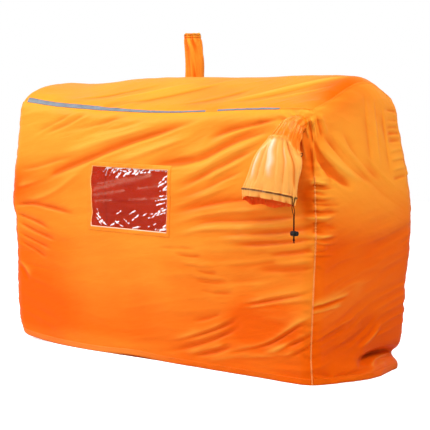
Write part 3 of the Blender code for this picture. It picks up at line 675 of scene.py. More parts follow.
def nylonMaterial(name, look):
    # coated nylon with painted light and shade: deeper in the valleys, paler on the ridges; light shows
    # through it
    material, tree, shader = newMaterial(name)
    place = objectPlace(tree)
    fold = mark(tree, "fold")
    patches = useGroup(tree, mottle, Vector=place, Size=5.0).outputs["Mask"]
    threads = useGroup(tree, weave, Vector=place, Threads=850.0)
    uneven = calc(tree, "MULTIPLY_ADD", patches, 0.16, -0.08)
    # the foot colour turns to the top colour with the painted light and shade, or a plain tone, that the mesh
    # carries
    base = colourMix(tree, calc(tree, "ADD", mark(tree, "faded"), uneven), look["low"], look["high"])
    # painted shade in the valleys (deep) and painted light on the ridges (bright); the threads' gaps are a
    # little deeper
    valley = calc(tree, "SUBTRACT", 1.0, makeRange(tree, fold, 0.10, 0.50))
    for amount, share, colour in (
        (valley, 0.78, "deep"), (makeRange(tree, fold, 0.52, 0.95), 0.70, "bright"),
        (threads.outputs["Gap"], 0.08, "deep"), (mark(tree, "pale"), look["paleMix"], "pale"),
    ):
        base = colourMix(tree, calc(tree, "MULTIPLY", amount, share), base, look[colour])
    # painted shade in creases and behind the sleeve, and the dark cord seen through its channel
    base = colourMix(tree, mark(tree, "cordShade"), base, look["shade"])
    gloss = calc(tree, "MULTIPLY_ADD", patches, 0.10, look["roughness"] - 0.05)
    paint(tree, shader, base, gloss, look["specular"])
    shader.inputs["Specular Tint"].default_value = (*look["tint"], 1)
    normal = None
    for node, distance, strength in (
        (useGroup(tree, pulled, Vector=place, Size=34.0), look["pulledDepth"], 0.8),
        (useGroup(tree, crinkle, Vector=place, Size=30.0), look["fineDepth"], 0.8), (threads, 0.00004, 0.5),
    ):
        normal = bump(tree, shader, node.outputs["Height"], distance, strength, normal)
    through = makeNode(tree, "ShaderNodeBsdfTranslucent", Color=(*look["glow"], 1), Normal=normal)
    mixShaders(tree, look["through"], shader, through, "Material Output")
    return material


# painted light and shade: low at the foot to high on top, deep in valleys, bright on ridges; pale is painted
# highlight or rubbed hem
orange = {
    "low": (0.88, 0.140, 0.0020), "high": (1.0, 0.430, 0.0380), "deep": (0.82, 0.115, 0.0015),
    "bright": (1.0, 0.550, 0.070), "pale": (1.0, 0.46, 0.13), "paleMix": 0.55, "shade": (0.05, 0.010, 0.003),
    "glow": (0.95, 0.20, 0.004), "through": 0.34, "roughness": 0.44, "specular": 0.11,
    "tint": (1.0, 0.56, 0.10), "pulledDepth": 0.0024, "fineDepth": 0.0007,
}
inside = {
    **orange, "low": (0.94, 0.22, 0.003), "high": (1.0, 0.34, 0.005), "glow": (0.95, 0.26, 0.003),
    "specular": 0.10, "roughness": 0.6,
}
# the sleeve's inner face, painted deep red for the shade inside its mouth
mouth = {
    **inside, "low": (1.0, 0.10, 0.010), "high": (1.0, 0.17, 0.022), "deep": (0.80, 0.07, 0.004),
    "glow": orange["glow"], "through": 0.45,
}
# the front sleeve's paler cloth; its pale colour is the painted highlight of its ridges
glossy = {
    **orange, "low": (0.93, 0.215, 0.0060), "high": (1.0, 0.480, 0.095), "deep": (0.90, 0.210, 0.010),
    "bright": (1.0, 0.50, 0.09), "pale": (1.0, 0.85, 0.62), "paleMix": 0.9, "through": 0.25,
    "roughness": 0.27, "specular": 0.26, "tint": (1.0, 0.84, 0.62), "pulledDepth": 0.0,
}
dull = {
    **orange, "low": (0.40, 0.06, 0.004), "high": (0.52, 0.10, 0.006), "deep": (0.34, 0.05, 0.003),
    "bright": (0.62, 0.15, 0.01), "roughness": 0.55, "through": 0.08, "pulledDepth": 0.0004,
}
# the binding's pale colour is a painted highlight
sewnBand = {**orange, "pale": (0.92, 0.72, 0.60), "pulledDepth": 0.0, "through": 0.1}
nylon, nylonInside = nylonMaterial("orangeNylon", orange), nylonMaterial("orangeNylonInside", inside)
mouthNylon = nylonMaterial("sleeveNylonInside", mouth)
sleeveNylon, seatCloth = nylonMaterial("sleeveNylon", glossy), nylonMaterial("seatCloth", dull)


def tapeMaterial():
    # grey reflective tape: tiny glass beads, scuffs and soft creases
    material, tree, shader = newMaterial("reflectiveTape")
    uv = tree.nodes.new("ShaderNodeUVMap").outputs[0]
    beads = makeNode(tree, "ShaderNodeTexVoronoi", Vector=uv, Scale=900.0)
    patches = useGroup(tree, mottle, Vector=uv, Size=22.0).outputs["Mask"]
    fine = useGroup(tree, crinkle, Vector=uv, Size=70.0)
    base = colourMix(tree, patches, (0.095, 0.110, 0.135), (0.165, 0.185, 0.215))
    base = colourMix(tree, makeRange(tree, beads.outputs["Distance"], 0.0, 0.35), (0.22, 0.24, 0.27), base)
    paint(tree, shader, base, calc(tree, "MULTIPLY_ADD", patches, 0.16, 0.44), 0.35)
    bump(tree, shader, fine.outputs["Height"], 0.0004, 0.7)
    return material


def filmMaterial():
    # clear soft film: hardly seen where it lies flat, painted white where a crease catches the light
    material, tree, shader = newMaterial("clearFilm")
    fine = useGroup(tree, crinkle, Vector=objectPlace(tree), Size=46.0)
    lit = makeRange(tree, mark(tree, "fold"), 0.15, 0.85)
    seen = calc(tree, "MULTIPLY_ADD", mark(tree, "haze"), 0.16, 0.02)
    tree.links.new(calc(tree, "MULTIPLY_ADD", lit, 0.80, seen), shader.inputs["Alpha"])
    tree.links.new(colourMix(tree, lit, (0.90, 0.45, 0.30), (0.95, 0.94, 0.95)), shader.inputs["Base Color"])
    shader.inputs["Roughness"].default_value = 0.16
    shader.inputs["Specular IOR Level"].default_value = 0.12
    bump(tree, shader, fine.outputs["Height"], 0.0015, 0.8)
    return material


def cordMaterial():
    # braided black cord: UV runs round it in x (0 to 1) and along it in y (metres)
    material, tree, shader = newMaterial("blackCord")
    split = makeNode(tree, "ShaderNodeSeparateXYZ", Vector=tree.nodes.new("ShaderNodeUVMap").outputs[0])
    along = calc(tree, "MULTIPLY", split.outputs["Y"], 420.0)
    strands = []
    for way in (1.0, -1.0):
        turned = calc(tree, "MULTIPLY_ADD", split.outputs["X"], 6.0 * way, along)
        strands.append(calc(tree, "SINE", calc(tree, "MULTIPLY", turned, 2 * math.pi)))
    braid = calc(tree, "MULTIPLY", *strands)
    base = colourMix(tree, makeRange(tree, braid, -0.6, 0.9), (0.003, 0.0025, 0.0025), (0.012, 0.008, 0.007))
    paint(tree, shader, base, calc(tree, "MULTIPLY_ADD", braid, 0.08, 0.74), 0.04)
    bump(tree, shader, braid, 0.00012, 0.8)
    return material


def plasticMaterial():
    # moulded black acetal: satin, faint mould grain, paler where edges are rubbed
    material, tree, shader = newMaterial("blackPlastic")
    place = objectPlace(tree)
    grain = makeNode(tree, "ShaderNodeTexNoise", Vector=place, Scale=2600.0, Detail=2.0)
    patches = useGroup(tree, mottle, Vector=place, Size=260.0).outputs["Mask"]
    base = colourMix(tree, patches, (0.004, 0.004, 0.0045), (0.009, 0.008, 0.008))
    base = colourMix(tree, calc(tree, "MULTIPLY", mark(tree, "worn"), 0.35), base, (0.06, 0.055, 0.05))
    paint(tree, shader, base, calc(tree, "MULTIPLY_ADD", patches, 0.14, 0.34), 0.09)
    bump(tree, shader, grain.outputs[0], 0.00003, 0.5)
    return material


def steelMaterial():
    material, tree, shader = newMaterial("springSteel")
    place = objectPlace(tree)
    drawn = makeNode(tree, "ShaderNodeTexNoise", Vector=place, Scale=1800.0, Detail=2.0).outputs[0]
    base = colourMix(tree, drawn, (0.42, 0.42, 0.43), (0.62, 0.62, 0.63))
    paint(tree, shader, base, calc(tree, "MULTIPLY_ADD", drawn, 0.2, 0.18))
    shader.inputs["Metallic"].default_value = 1.0
    return material


def threadMaterial(name, pale, dark):
    material, tree, shader = newMaterial(name)
    place = objectPlace(tree)
    twist = makeNode(tree, "ShaderNodeTexWave", Vector=place, Scale=900.0, Distortion=1.0).outputs["Fac"]
    paint(tree, shader, colourMix(tree, twist, dark, pale), calc(tree, "MULTIPLY_ADD", twist, 0.15, 0.5))
    return material


binding = nylonMaterial("windowBinding", sewnBand)
tape, film, cordBlack = tapeMaterial(), filmMaterial(), cordMaterial()
plastic, steel = plasticMaterial(), steelMaterial()
thread = threadMaterial("orangeThread", (0.96, 0.285, 0.012), (0.80, 0.15, 0.006))
paleThread = threadMaterial("paleThread", (1.0, 0.50, 0.20), (0.90, 0.28, 0.05))
greyThread = threadMaterial("greyThread", (0.24, 0.26, 0.29), (0.15, 0.17, 0.20))
print("materials made:", len(bpy.data.materials))


# Cloth panels
def newPiece(name, verts, faces, uvs, materials, outward=False):
    mesh = bpy.data.meshes.new(name)
    mesh.from_pydata([tuple(v) for v in verts], [], [tuple(f) for f in faces])
    if uvs is not None:
        mesh.uv_layers.new(name="UVMap").data.foreach_set("uv", np.array(uvs, np.float32).ravel())
    if outward:
        tidy = bmesh.new()
        tidy.from_mesh(mesh)
        bmesh.ops.recalc_face_normals(tidy, faces=tidy.faces)
        tidy.to_mesh(mesh)
        tidy.free()
    for material in materials:
        mesh.materials.append(material)
    mesh.shade_smooth()
    piece = bpy.data.objects.new(name, mesh)
    bpy.context.collection.objects.link(piece)
    return piece


def pieceFromGrid(name, outer, outward, uv, material, marks, thickness, inside=None, kept=None, loop=False):
    # a sheet through a grid of points, with its thickness on the side away from outward
    rows, cols = outer.shape[:2]
    i, j = grid(np.arange(rows if loop else rows - 1), np.arange(cols - 1))
    after = (i + 1) % rows
    faces = np.stack([i * cols + j, after * cols + j, after * cols + j + 1, i * cols + j + 1], -1)
    faces = (faces if kept is None else faces[kept]).reshape(-1, 4)
    verts = outer.reshape(-1, 3)
    a, b, c = (verts[faces[:, k]] for k in (0, 1, 2))
    towards = np.broadcast_to(outward, outer.shape).reshape(-1, 3)[faces[:, 0]]
    if (np.cross(b - a, c - a) * towards).sum() < 0:
        faces = faces[:, ::-1]
    used = np.unique(faces)
    spots = uv.reshape(-1, 2)[faces]
    if loop:
        # where the grid closes, the UV runs on past its end instead of back to its start
        widest = uv[..., 0].max()
        wraps = spots[..., 0].max(1) - spots[..., 0].min(1) > widest / 2
        low = spots[..., 0] < widest / 2
        spots[..., 0] += np.where(wraps[:, None] & low, widest * rows / (rows - 1), 0)
    materials = [material] if inside is None else [material, inside]
    piece = newPiece(name, verts[used], np.searchsorted(used, faces), spots, materials)
    for label, values in marks.items():
        values = np.broadcast_to(np.asarray(values, np.float32), outer.shape[:2]).reshape(-1)[used]
        piece.data.attributes.new(label, "FLOAT", "POINT").data.foreach_set("value", values)
    shell = piece.modifiers.new("thickness", "SOLIDIFY")
    shell.thickness = thickness
    shell.offset = -1
    shell.use_even_offset = False
    shell.material_offset = len(materials) - 1
    applyModifiers(piece)
    return piece


def applyModifiers(piece):
    bpy.ops.object.select_all(action="DESELECT")
    bpy.context.view_layer.objects.active = piece
    piece.select_set(True)
    for modifier in list(piece.modifiers):
        bpy.ops.object.modifier_apply(modifier=modifier.name)
    piece.select_set(False)


def settle(piece, body, slot, *nodes):
    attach(piece, body)
    if nodes:
        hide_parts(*nodes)
    return piece


cloth = {
    "leftStep": 0.0050, "windowStep": 0.0060, "rightStep": 0.0044, "step": 0.00521, "rearStep": 0.0054,
    "depthStep": 0.0046, "fineStep": 0.0037, "lift": 0.0006, "thickness": 0.0007,
}


def spread(start, end, step):
    return list(np.linspace(start, end, max(1, round((end - start) / step)) + 1)[:-1])


def gridLines(marks, step):
    lines = []
    for start, end in zip(marks, marks[1:]):
        lines += spread(start, end, step)
    return np.array(lines + [marks[-1]])


columns = np.concatenate([
    gridLines([leftX, leftX + cornerRadius, window["left"]], cloth["leftStep"])[:-1],
    gridLines([window["left"], window["right"]], cloth["windowStep"])[:-1],
    gridLines([window["right"], rightX - cornerRadius, rightX], cloth["rightStep"]),
])
crossing = [frontY, frontY + cornerRadius, rearY - cornerRadius, rearY]
levels = [0.0, 0.10, window["bottom"], window["top"], wallHeight - cornerRadius, wallHeight]
heights, depths = gridLines(levels, cloth["step"]), gridLines(crossing, cloth["depthStep"])
rearHeights = gridLines([0.0, *levels[4:]], cloth["rearStep"])
fineHeights = gridLines([0.0, *levels[4:]], cloth["fineStep"])
fineDepths = gridLines(crossing, cloth["fineStep"])


def paintedFoldShade(points):
    # painted shade in the valleys at 0, painted light on the ridges at 1
    return np.clip(0.5 + (foldHeight(points) + 0.7 * creases(points)) / 0.014, 0, 1)


# Painted shade where the cloth hangs away from the light or lies in the sleeve's shadow, and painted light
# where the amount is negative: middle, half sizes, how much.
paintedShadeAndLightPatches = [
    ((-0.73, frontY, 0.585), (0.17, 0.06, 0.085), 0.72), ((-0.62, frontY, 0.30), (0.20, 0.06, 0.13), 0.16),
    ((0.51, frontY, 0.190), (0.13, 0.05, 0.075), 0.85), ((0.42, frontY, 0.560), (0.08, 0.05, 0.030), 0.32),
    ((0.675, frontY, 0.605), (0.032, 0.03, 0.070), 0.80), ((0.67, frontY, 0.77), (0.05, 0.05, 0.070), 0.50),
    ((rightX, -0.245, 0.715), (0.05, 0.026, 0.060), 0.60), ((0.69, -0.07, 0.90), (0.11, 0.12, 0.07), 0.66),
    ((0.18, frontY, 0.55), (0.14, 0.05, 0.065), 0.18), ((0.46, frontY, 0.325), (0.13, 0.05, 0.035), -0.30),
    ((0.22, frontY, 0.405), (0.32, 0.05, 0.030), -0.30), ((rightX, -0.18, 0.45), (0.05, 0.06, 0.05), 0.12),
    ((rightX, 0.05, 0.10), (0.05, 0.20, 0.05), 0.25),
]


def paintedLightAndShade(points):
    # painted light and shade: the cloth is painted palest on top, where the light falls, and deepest at the
    # foot
    x, z = points[..., 0], points[..., 2]
    at, tones = [0.0, 0.16, 0.30, 0.50, 0.60, 0.70, 0.85], [0.08, 0.22, 0.58, 0.62, 0.66, 0.90, 0.96]
    level = np.interp(z, at, tones)
    level = level - 0.30 * ease(-x, 0.25, 0.65) * ease(0.50 - z, 0, 0.15)
    level = level + 0.32 * ease(-x, -0.18, 0.12) * ease(0.09 - z, 0, 0.06)
    level = level - (0.18 + 0.17 * ease(x, -0.2, 0.4)) * (z > wallHeight - 0.004)
    onEnd = np.abs(x) > rightX - 0.004
    level = np.where(onEnd, 0.08 + 0.91 * ease(z, 0.40, 0.69), level)
    for middle, size, amount in paintedShadeAndLightPatches:
        level = level - amount * patch(points, middle, size)
    return np.clip(level, -0.25, 1)


# Painted shade in the deep crease above the bulge at the right end's foot, and a painted shadow of the open
# sleeve on the cloth behind it.
paintedShadowPlaces = [
    ((rightX, 0.085, 0.064), (0.05, 0.085, 0.0075), 0.55),
    ((0.676, frontY, 0.605), (0.026, 0.03, 0.058), 0.26),
]


def paintedCreaseShade(points):
    return sum(amount * patch(points, middle, size) for middle, size, amount in paintedShadowPlaces)


def panel(name, face, across, along, node, opening=None, hole=None):
    a, b = grid(across, along)
    middleA, middleB = grid((across[:-1] + across[1:]) / 2, (along[:-1] + along[1:]) / 2)
    gone = np.zeros(middleA.shape, bool)
    if hole is not None:
        # cells inside the vent are left out, and the cells round it are drawn onto its oval
        wide, tall = vents["halfWidth"] * vents["hole"], vents["halfHeight"] * vents["hole"]
        gone = np.hypot((middleA - hole) / wide, (middleB - vents["height"]) / tall) < 1.0
        touching = np.zeros(a.shape, int)
        for di in (0, 1):
            for dj in (0, 1):
                touching[di:di + gone.shape[0], dj:dj + gone.shape[1]] += gone
        rim = (touching > 0) & (touching < 4)
        reach = np.hypot((a - hole) / wide, (b - vents["height"]) / tall)
        a = np.where(rim, hole + (a - hole) / reach, a)
        b = np.where(rim, vents["height"] + (b - vents["height"]) / reach, b)
    if opening:
        inA = (middleA > opening["left"]) & (middleA < opening["right"])
        gone = gone | inA & (middleB > opening["bottom"]) & (middleB < opening["top"])
    base = wallPoint(face, drawnOut(a, b) if opening else a, b)
    # the marks carry painted fold shade, painted light and shade from top to foot, and painted crease shade
    piece = pieceFromGrid(
        name, drape(base, cloth["lift"]), facing[face], np.stack([a, b], -1), nylon,
        {"fold": paintedFoldShade(base), "faded": paintedLightAndShade(base), "cordShade": paintedCreaseShade(base)},
        cloth["thickness"], nylonInside, ~gone,
    )
    return settle(piece, "shell", "coated_nylon", node)


frontWall = panel("frontWall", "front", columns, heights, "front_wall", window, vents["frontX"])
rearWall = panel("rearWall", "rear", columns, rearHeights, "rear_wall", hole=vents["rearX"])
leftEnd = panel("leftEnd", "left", depths, heights, "left_end")
rightEnd = panel("rightEnd", "right", fineDepths, fineHeights, "right_end")
roofPanel = panel("roofPanel", "roof", columns, depths, "roof")
print("cloth panels draped")


# Stitching
def stitchRow(name, path, normals, pitch, radius, material, body="shell", slot="seam"):
    # one row of thread stitches lying on a line over the cloth
    reached = lengths(path)
    verts, faces = [], []
    for start in np.arange(pitch * 0.5, reached[-1] - pitch, pitch):
        first = len(verts)
        for part, size in ((0.0, 0.45), (0.36, 1.0), (0.72, 0.45)):
            at = start + pitch * part
            spot, up = (
                np.array([np.interp(at, reached, line[:, k]) for k in range(3)]) for line in (path, normals)
            )
            number = min(np.searchsorted(reached, at), len(path) - 1)
            side = unit(np.cross(up, path[number] - path[number - 1]))
            middle = spot + up * radius * (0.25 if part == 0.36 else -0.15)
            verts += [middle + radius * size * way for way in (side, up, -side, -up)]
        for low in (first, first + 4):
            faces += [(low + m, low + (m + 1) % 4, low + 4 + (m + 1) % 4, low + 4 + m) for m in range(4)]
        faces += [(first + 3, first + 2, first + 1, first), (first + 8, first + 9, first + 10, first + 11)]
    return settle(newPiece(name, verts, faces, None, [material], True), body, slot)


def wallLine(face, a, b, lift):
    # a line on the hanging cloth, and the way out from the cloth all along it
    base = wallPoint(face, a, b)
    return drape(base, lift), unit(drape(base, lift + 0.001, 0) - drape(base, lift, 0))


# Seams, tapes and hems
trim = {
    "seamHalf": 0.0057, "tapeHalf": 0.0117, "tapeLeft": leftX + 0.055, "tapeRight": rightX - 0.150,
    "hemHeight": 0.022, "cornerStop": 0.013, "step": 0.0032, "threadRadius": 0.00026, "stitchAt": 0.62,
    "seamStitch": 0.0034, "hemStitch": 0.0038, "tapeStitch": 0.0040, "thickness": 0.0006,
    "tape": 0.0004, "hem": 0.0008, "tapeStitchAt": 0.84, "hemStitchAt": 0.0192, "tapeThread": 0.00024,
}


def strip(name, lines, run, lifts, across, material, thickness, node, slot="seam", pale=0.0):
    # lines across the strip: each is a face and a function from the run to a place on that face
    bases = [wallPoint(face, *at(run)) for face, at in lines]
    outer = np.stack([drape(base, lift) for base, lift in zip(bases, lifts)], 1)
    faded = np.stack([paintedLightAndShade(base) for base in bases], 1)
    outward = np.add(facing[lines[0][0]], facing[lines[-1][0]])
    uv = np.stack(grid(lengths(outer[:, len(lines) // 2]), across), -1)
    marks = {"fold": 0.5, "faded": faded, "pale": pale}
    piece = pieceFromGrid(name, outer, outward, uv, material, marks, thickness)
    return settle(piece, "shell", slot, node)


def overEdge(first, second, offsets):
    # lines over an edge: negative offsets lie on the first face, the others on the second
    lines = []
    for offset in offsets:
        face, at = first if offset < 0 else second
        lines.append((face, lambda run, at=at, d=abs(offset): at(run, d)))
    return lines


walls = {"front": (frontY, 1), "rear": (rearY, -1), "left": (leftX, 1), "right": (rightX, -1)}


def inFrom(face):
    # places at a distance in from that wall, on a face beside it
    start, way = walls[face]
    return lambda run, d: (start + way * d, run)


def belowRoof(run, d):
    return run, wallHeight - d


def sew(name, sides, run, distance, lift, pitch, radius, material, slot="seam"):
    for title, (face, at) in sides:
        stitchRow(name + title, *wallLine(face, *at(run, distance), lift), pitch, radius, material, slot=slot)


seamHalf, tapeHalf, lift = trim["seamHalf"], trim["tapeHalf"], cloth["lift"]
seamOffsets = seamHalf * np.array([-1, -0.72, -0.45, -0.2, 0, 0.2, 0.45, 0.72, 1])
domed = 1 - (seamOffsets / seamHalf) ** 2
seamRise = lift + 0.0004 + 0.0010 * domed + 0.0005 * bell(seamOffsets, 0, 0.0013)
flatRise = lift + 0.0002 + 0.0003 * domed

uprightRun = gridLines([0.002, wallHeight - trim["cornerStop"]], trim["step"])
for longFace in ("front", "rear"):
    for endFace in ("left", "right"):
        onLong, onEnd = (longFace, inFrom(endFace)), (endFace, inFrom(longFace))
        name = "seam" + longFace.capitalize() + endFace.capitalize()
        rise, pale, sewn, yarn = seamRise, 0.0, uprightRun, thread
        if name == "seamFrontRight":
            # this seam gets a painted highlight along its crown, and its upper end lies flat among the pleats
            flat = ease(uprightRun, 0.66, 0.70)
            rise = [(1 - flat) * high + flat * (lift + 0.0003) for high in seamRise]
            pale = 1.4 * ease(0.69 - uprightRun, 0, 0.06)[:, None] * bell(seamOffsets, 0, 0.0040)
            sewn, yarn = uprightRun[uprightRun < 0.68], paleThread
        strip(
            name, overEdge(onLong, onEnd, seamOffsets), uprightRun, rise, seamOffsets, nylon,
            trim["thickness"], "seam_%s_%s" % (longFace, endFace), pale=pale,
        )
        sew(
            name + "Stitches", (("Long", onLong), ("End", onEnd)), sewn, seamHalf * trim["stitchAt"],
            lift + 0.0012, trim["seamStitch"], trim["threadRadius"], yarn,
        )

depthRun = gridLines([frontY + trim["cornerStop"], rearY - trim["cornerStop"]], trim["step"])
for endFace in ("left", "right"):
    onEnd, onRoof = (endFace, belowRoof), ("roof", inFrom(endFace))
    name = "seamRoof" + endFace.capitalize()
    strip(
        name, overEdge(onEnd, onRoof, seamOffsets), depthRun, flatRise, seamOffsets, nylon, trim["thickness"],
        "seam_roof_" + endFace,
    )
    sew(
        name + "Stitches", (("End", onEnd), ("Roof", onRoof)), depthRun, seamHalf * trim["stitchAt"],
        lift + 0.0006, trim["seamStitch"], trim["threadRadius"], thread,
    )

# The front tape narrows to the right, hangs lower at the left and sinks into one fold.
tapeFold = {
    "narrow": 0.48, "from": (-0.40, 0.12), "lower": 0.38, "under": 0.258, "reach": 0.024, "depth": 0.0050,
}
longRun = gridLines([leftX + trim["cornerStop"], rightX - trim["cornerStop"]], trim["step"])
tapeOffsets = tapeHalf * np.array([-1, -0.8, -0.55, -0.3, -0.1, 0.1, 0.3, 0.55, 0.8, 1])
for side, start, end, uneven in (
    ("front", trim["tapeLeft"], trim["tapeRight"], 1),
    ("rear", -trim["tapeRight"], -trim["tapeLeft"] - 0.025, 0),
):
    run = gridLines([start, end], trim["step"])
    narrow = 1 - uneven * tapeFold["narrow"] * ease(run, *tapeFold["from"])
    low = narrow * (1 + uneven * tapeFold["lower"] * ease(0.12 - run, 0, 0.5))
    sunk = uneven * tapeFold["depth"] * np.exp(-(((run - tapeFold["under"]) / tapeFold["reach"]) ** 4))
    onSide, onRoof = (side, belowRoof), ("roof", lambda run, d: inFrom(side)(run, d)[::-1])
    onSideTape = (side, lambda run, d: belowRoof(run, d * low))
    onRoofTape = ("roof", lambda run, d: onRoof[1](run, d * narrow))
    strip(
        "seamRoof" + side.capitalize(), overEdge(onSide, onRoof, seamOffsets), longRun, seamRise, seamOffsets,
        nylon, trim["thickness"], "seam_roof_" + side,
    )
    rise = [lift + 0.0008 + 0.0014 * (1 - (across / tapeHalf) ** 4) - sunk for across in tapeOffsets]
    strip(
        side + "Tape", overEdge(onSideTape, onRoofTape, tapeOffsets), run, rise, tapeOffsets, tape,
        trim["tape"], side + "_reflective_strip", "reflective_tape",
    )
    sew(
        side + "TapeStitches", (("Low", onSideTape), ("High", onRoofTape)), run,
        tapeHalf * trim["tapeStitchAt"], lift + 0.0017 - sunk, trim["tapeStitch"], trim["tapeThread"],
        greyThread, "reflective_tape",
    )

hemLevels = np.array([0.0015, 0.006, 0.011, 0.016, 0.0205, trim["hemHeight"]])
hemRise = lift + np.array([0.0006, 0.0009, 0.0009, 0.0010, 0.0010, 0.0004])
for side, line in (("front", columns), ("rear", columns), ("left", depths), ("right", depths)):
    run = gridLines([line[0] + 0.0085, line[-1] - 0.0085], trim["step"] * 1.25)
    rows = [(side, lambda along, z=level: (along, z)) for level in hemLevels]
    worn = 0.40 * ease(0.25 - run, 0, 0.5)[:, None] if side == "front" else 0.0
    strip(
        side + "Hem", rows, run, hemRise, hemLevels - 0.019, nylon, trim["hem"], "hem_" + side, pale=worn,
    )
    sewn = wallLine(side, run, trim["hemStitchAt"], lift + 0.0013)
    stitchRow(side + "HemStitches", *sewn, trim["hemStitch"], trim["threadRadius"], thread)
print("seams, tapes and hems sewn")


# Window
# Painted glints where the film's creases catch the light, in millimetres: where each starts and ends, and how
# wide it is.
paintedGlints = [
    ((-258, 652), (-236, 669), 2.6), ((-228, 638), (-200, 669), 3), ((-206, 650), (-172, 668), 3.8),
    ((-186, 634), (-168, 652), 2.4), ((-152, 640), (-118, 669), 5), ((-128, 655), (-64, 663), 6),
    ((-92, 646), (-50, 668), 3.6), ((-60, 668), (60, 666), 2.2), ((26, 612), (62, 630), 4),
    ((46, 640), (70, 652), 2.4), ((12, 562), (68, 573), 3.2), ((34, 578), (70, 584), 2.2),
    ((0, 506), (66, 536), 4.8), ((30, 526), (70, 548), 3.6), ((-12, 514), (30, 520), 2.6),
    ((16, 462), (68, 468), 5), ((36, 458), (70, 484), 3.6), ((-290, 500), (-246, 470), 2.2),
    ((-270, 476), (-232, 462), 2.6), ((-214, 462), (-172, 480), 3.4), ((-190, 478), (-152, 462), 3),
    ((-182, 506), (-164, 516), 3), ((-124, 506), (-88, 522), 2.8), ((-102, 488), (-72, 508), 3),
    ((-60, 500), (-30, 516), 3), ((-100, 460), (-60, 468), 2.4), ((-240, 668), (-80, 667), 3),
    ((-170, 660), (-104, 652), 3.4), ((20, 548), (68, 560), 2.8), ((50, 600), (70, 618), 3),
    ((-290, 520), (-262, 470), 2.2), ((-150, 490), (-120, 476), 2.6), ((-20, 470), (20, 484), 2.6),
    ((-246, 640), (-232, 668), 1.8), ((-218, 646), (-208, 669), 1.8), ((-196, 630), (-178, 650), 1.8),
    ((-144, 648), (-20, 660), 3.4), ((-20, 500), (60, 524), 3), ((30, 596), (68, 604), 1.8),
    ((-288, 486), (-262, 462), 1.6), ((24, 620), (56, 640), 1.8),
]

# Soft milky creases, given in the same way.
hazes = [
    ((-306, 588), (-20, 650), 8), ((-308, 566), (-150, 590), 5.5), ((-290, 608), (-130, 634), 4.5),
    ((-300, 545), (-215, 553), 5), ((-80, 600), (50, 618), 4), ((-120, 560), (30, 572), 3.5),
]


def strokes(rows, a, b, jagged):
    # 1 on the middle of the nearest stroke and 0 away from them
    found = np.zeros(a.shape)
    for start, end, width in rows:
        x, z = np.array(start) / 1000
        run = np.subtract(end, start) / 1000
        part = np.clip(((a - x) * run[0] + (b - z) * run[1]) / (run @ run), 0, 1)
        away = np.hypot(a - x - part * run[0], b - z - part * run[1]) + jagged
        found = np.maximum(found, bell(away, 0, 0.00080 * width))
    return found


def crumple(a, b):
    # the film's height in metres, how much painted glint each place gets, and its haze
    broken = noise(43, (a + 0.6 * b) / 0.014, (b - 0.6 * a) / 0.0050)
    jagged = 0.0018 * noise(45, a / 0.0110, b / 0.0070)
    lit = strokes(paintedGlints, a, b, jagged) * ease(broken + 0.72, 0, 0.6)
    streaks = 1 - np.minimum(1, np.abs(noise(41, (b - 0.30 * a) / 0.020, a / 0.16)) * 3.0)
    haze = 0.8 * strokes(hazes, a, b, 1.5 * jagged) * (0.55 + 0.45 * streaks)
    edge = np.minimum(
        np.minimum(a - window["left"], window["right"] - a),
        np.minimum(b - window["bottom"], window["top"] - b),
    )
    broad = noise(47, a / 0.10, b / 0.07)
    height = ease(edge, -0.002, 0.010) * (0.0014 * streaks + 0.0014 * lit + 0.0024 * broad)
    return height, lit, haze


lap = window["lap"]
a, b = grid(
    gridLines([window["left"] - lap, window["left"], window["right"], window["right"] + lap], window["step"]),
    gridLines([window["bottom"] - lap, window["bottom"], window["top"], window["top"] + lap], window["step"]),
)
filmCrease, filmLit, filmHaze = crumple(a, b)
filmPiece = pieceFromGrid(
    "windowFilm", drape(wallPoint("front", a, b), np.minimum(filmCrease, 0.0022) - window["behind"]),
    facing["front"], np.stack([a, b], -1), film, {"fold": filmLit, "haze": filmHaze}, window["film"],
)
settle(filmPiece, "shell", "clear_film", "window_film")


def rectangleRing(name, offsets, rise, material, slot, thickness, pale, *nodes):
    # a band all round the window: offsets are distances out from the opening's edge
    left, right, bottom, top = window["left"], window["right"], window["bottom"], window["top"]
    corners = np.array(((left, bottom), (right, bottom), (right, top), (left, top)))
    turns = []
    for start, end in zip(corners, np.roll(corners, -1, axis=0)):
        count = max(2, round(np.linalg.norm(end - start) / window["ringStep"]))
        turns += [start + (end - start) * k / count for k in range(count)]
    middle, half = (corners[0] + corners[2]) / 2, (corners[2] - corners[0]) / 2
    spots = np.stack([middle + (turns - middle) * (half + offset) / half for offset in offsets], 1)
    spots[..., 0] = drawnOut(spots[..., 0], spots[..., 1])
    base = wallPoint("front", spots[..., 0], spots[..., 1])
    outer = drape(base, rise)
    # painted highlight, strongest along the right and bottom edges
    paintedGlintEdges = ease(spots[..., 0], -0.05, 0.06) + ease(bottom + 0.02 - spots[..., 1], 0, 0.015)
    marks = {"fold": 0.55, "faded": paintedLightAndShade(base), "pale": pale * np.clip(0.30 + paintedGlintEdges, 0, 1)}
    uv = np.stack(grid(lengths(outer[:, 0]), offsets), -1)
    piece = pieceFromGrid(name, outer, facing["front"], uv, material, marks, thickness, loop=True)
    settle(piece, "shell", slot, *nodes)
    return spots


borderOffsets = np.array([0.0, 0.0008, 0.004, 0.008, 0.012, 0.0145, window["border"]])
borderRise = lift + np.array([0.0006, 0.0014, 0.0017, 0.0016, 0.0017, 0.0014, 0.0006])
spots = rectangleRing(
    "windowBorder", borderOffsets, borderRise, nylon, "coated_nylon", trim["thickness"], 0.0, "window_frame",
)
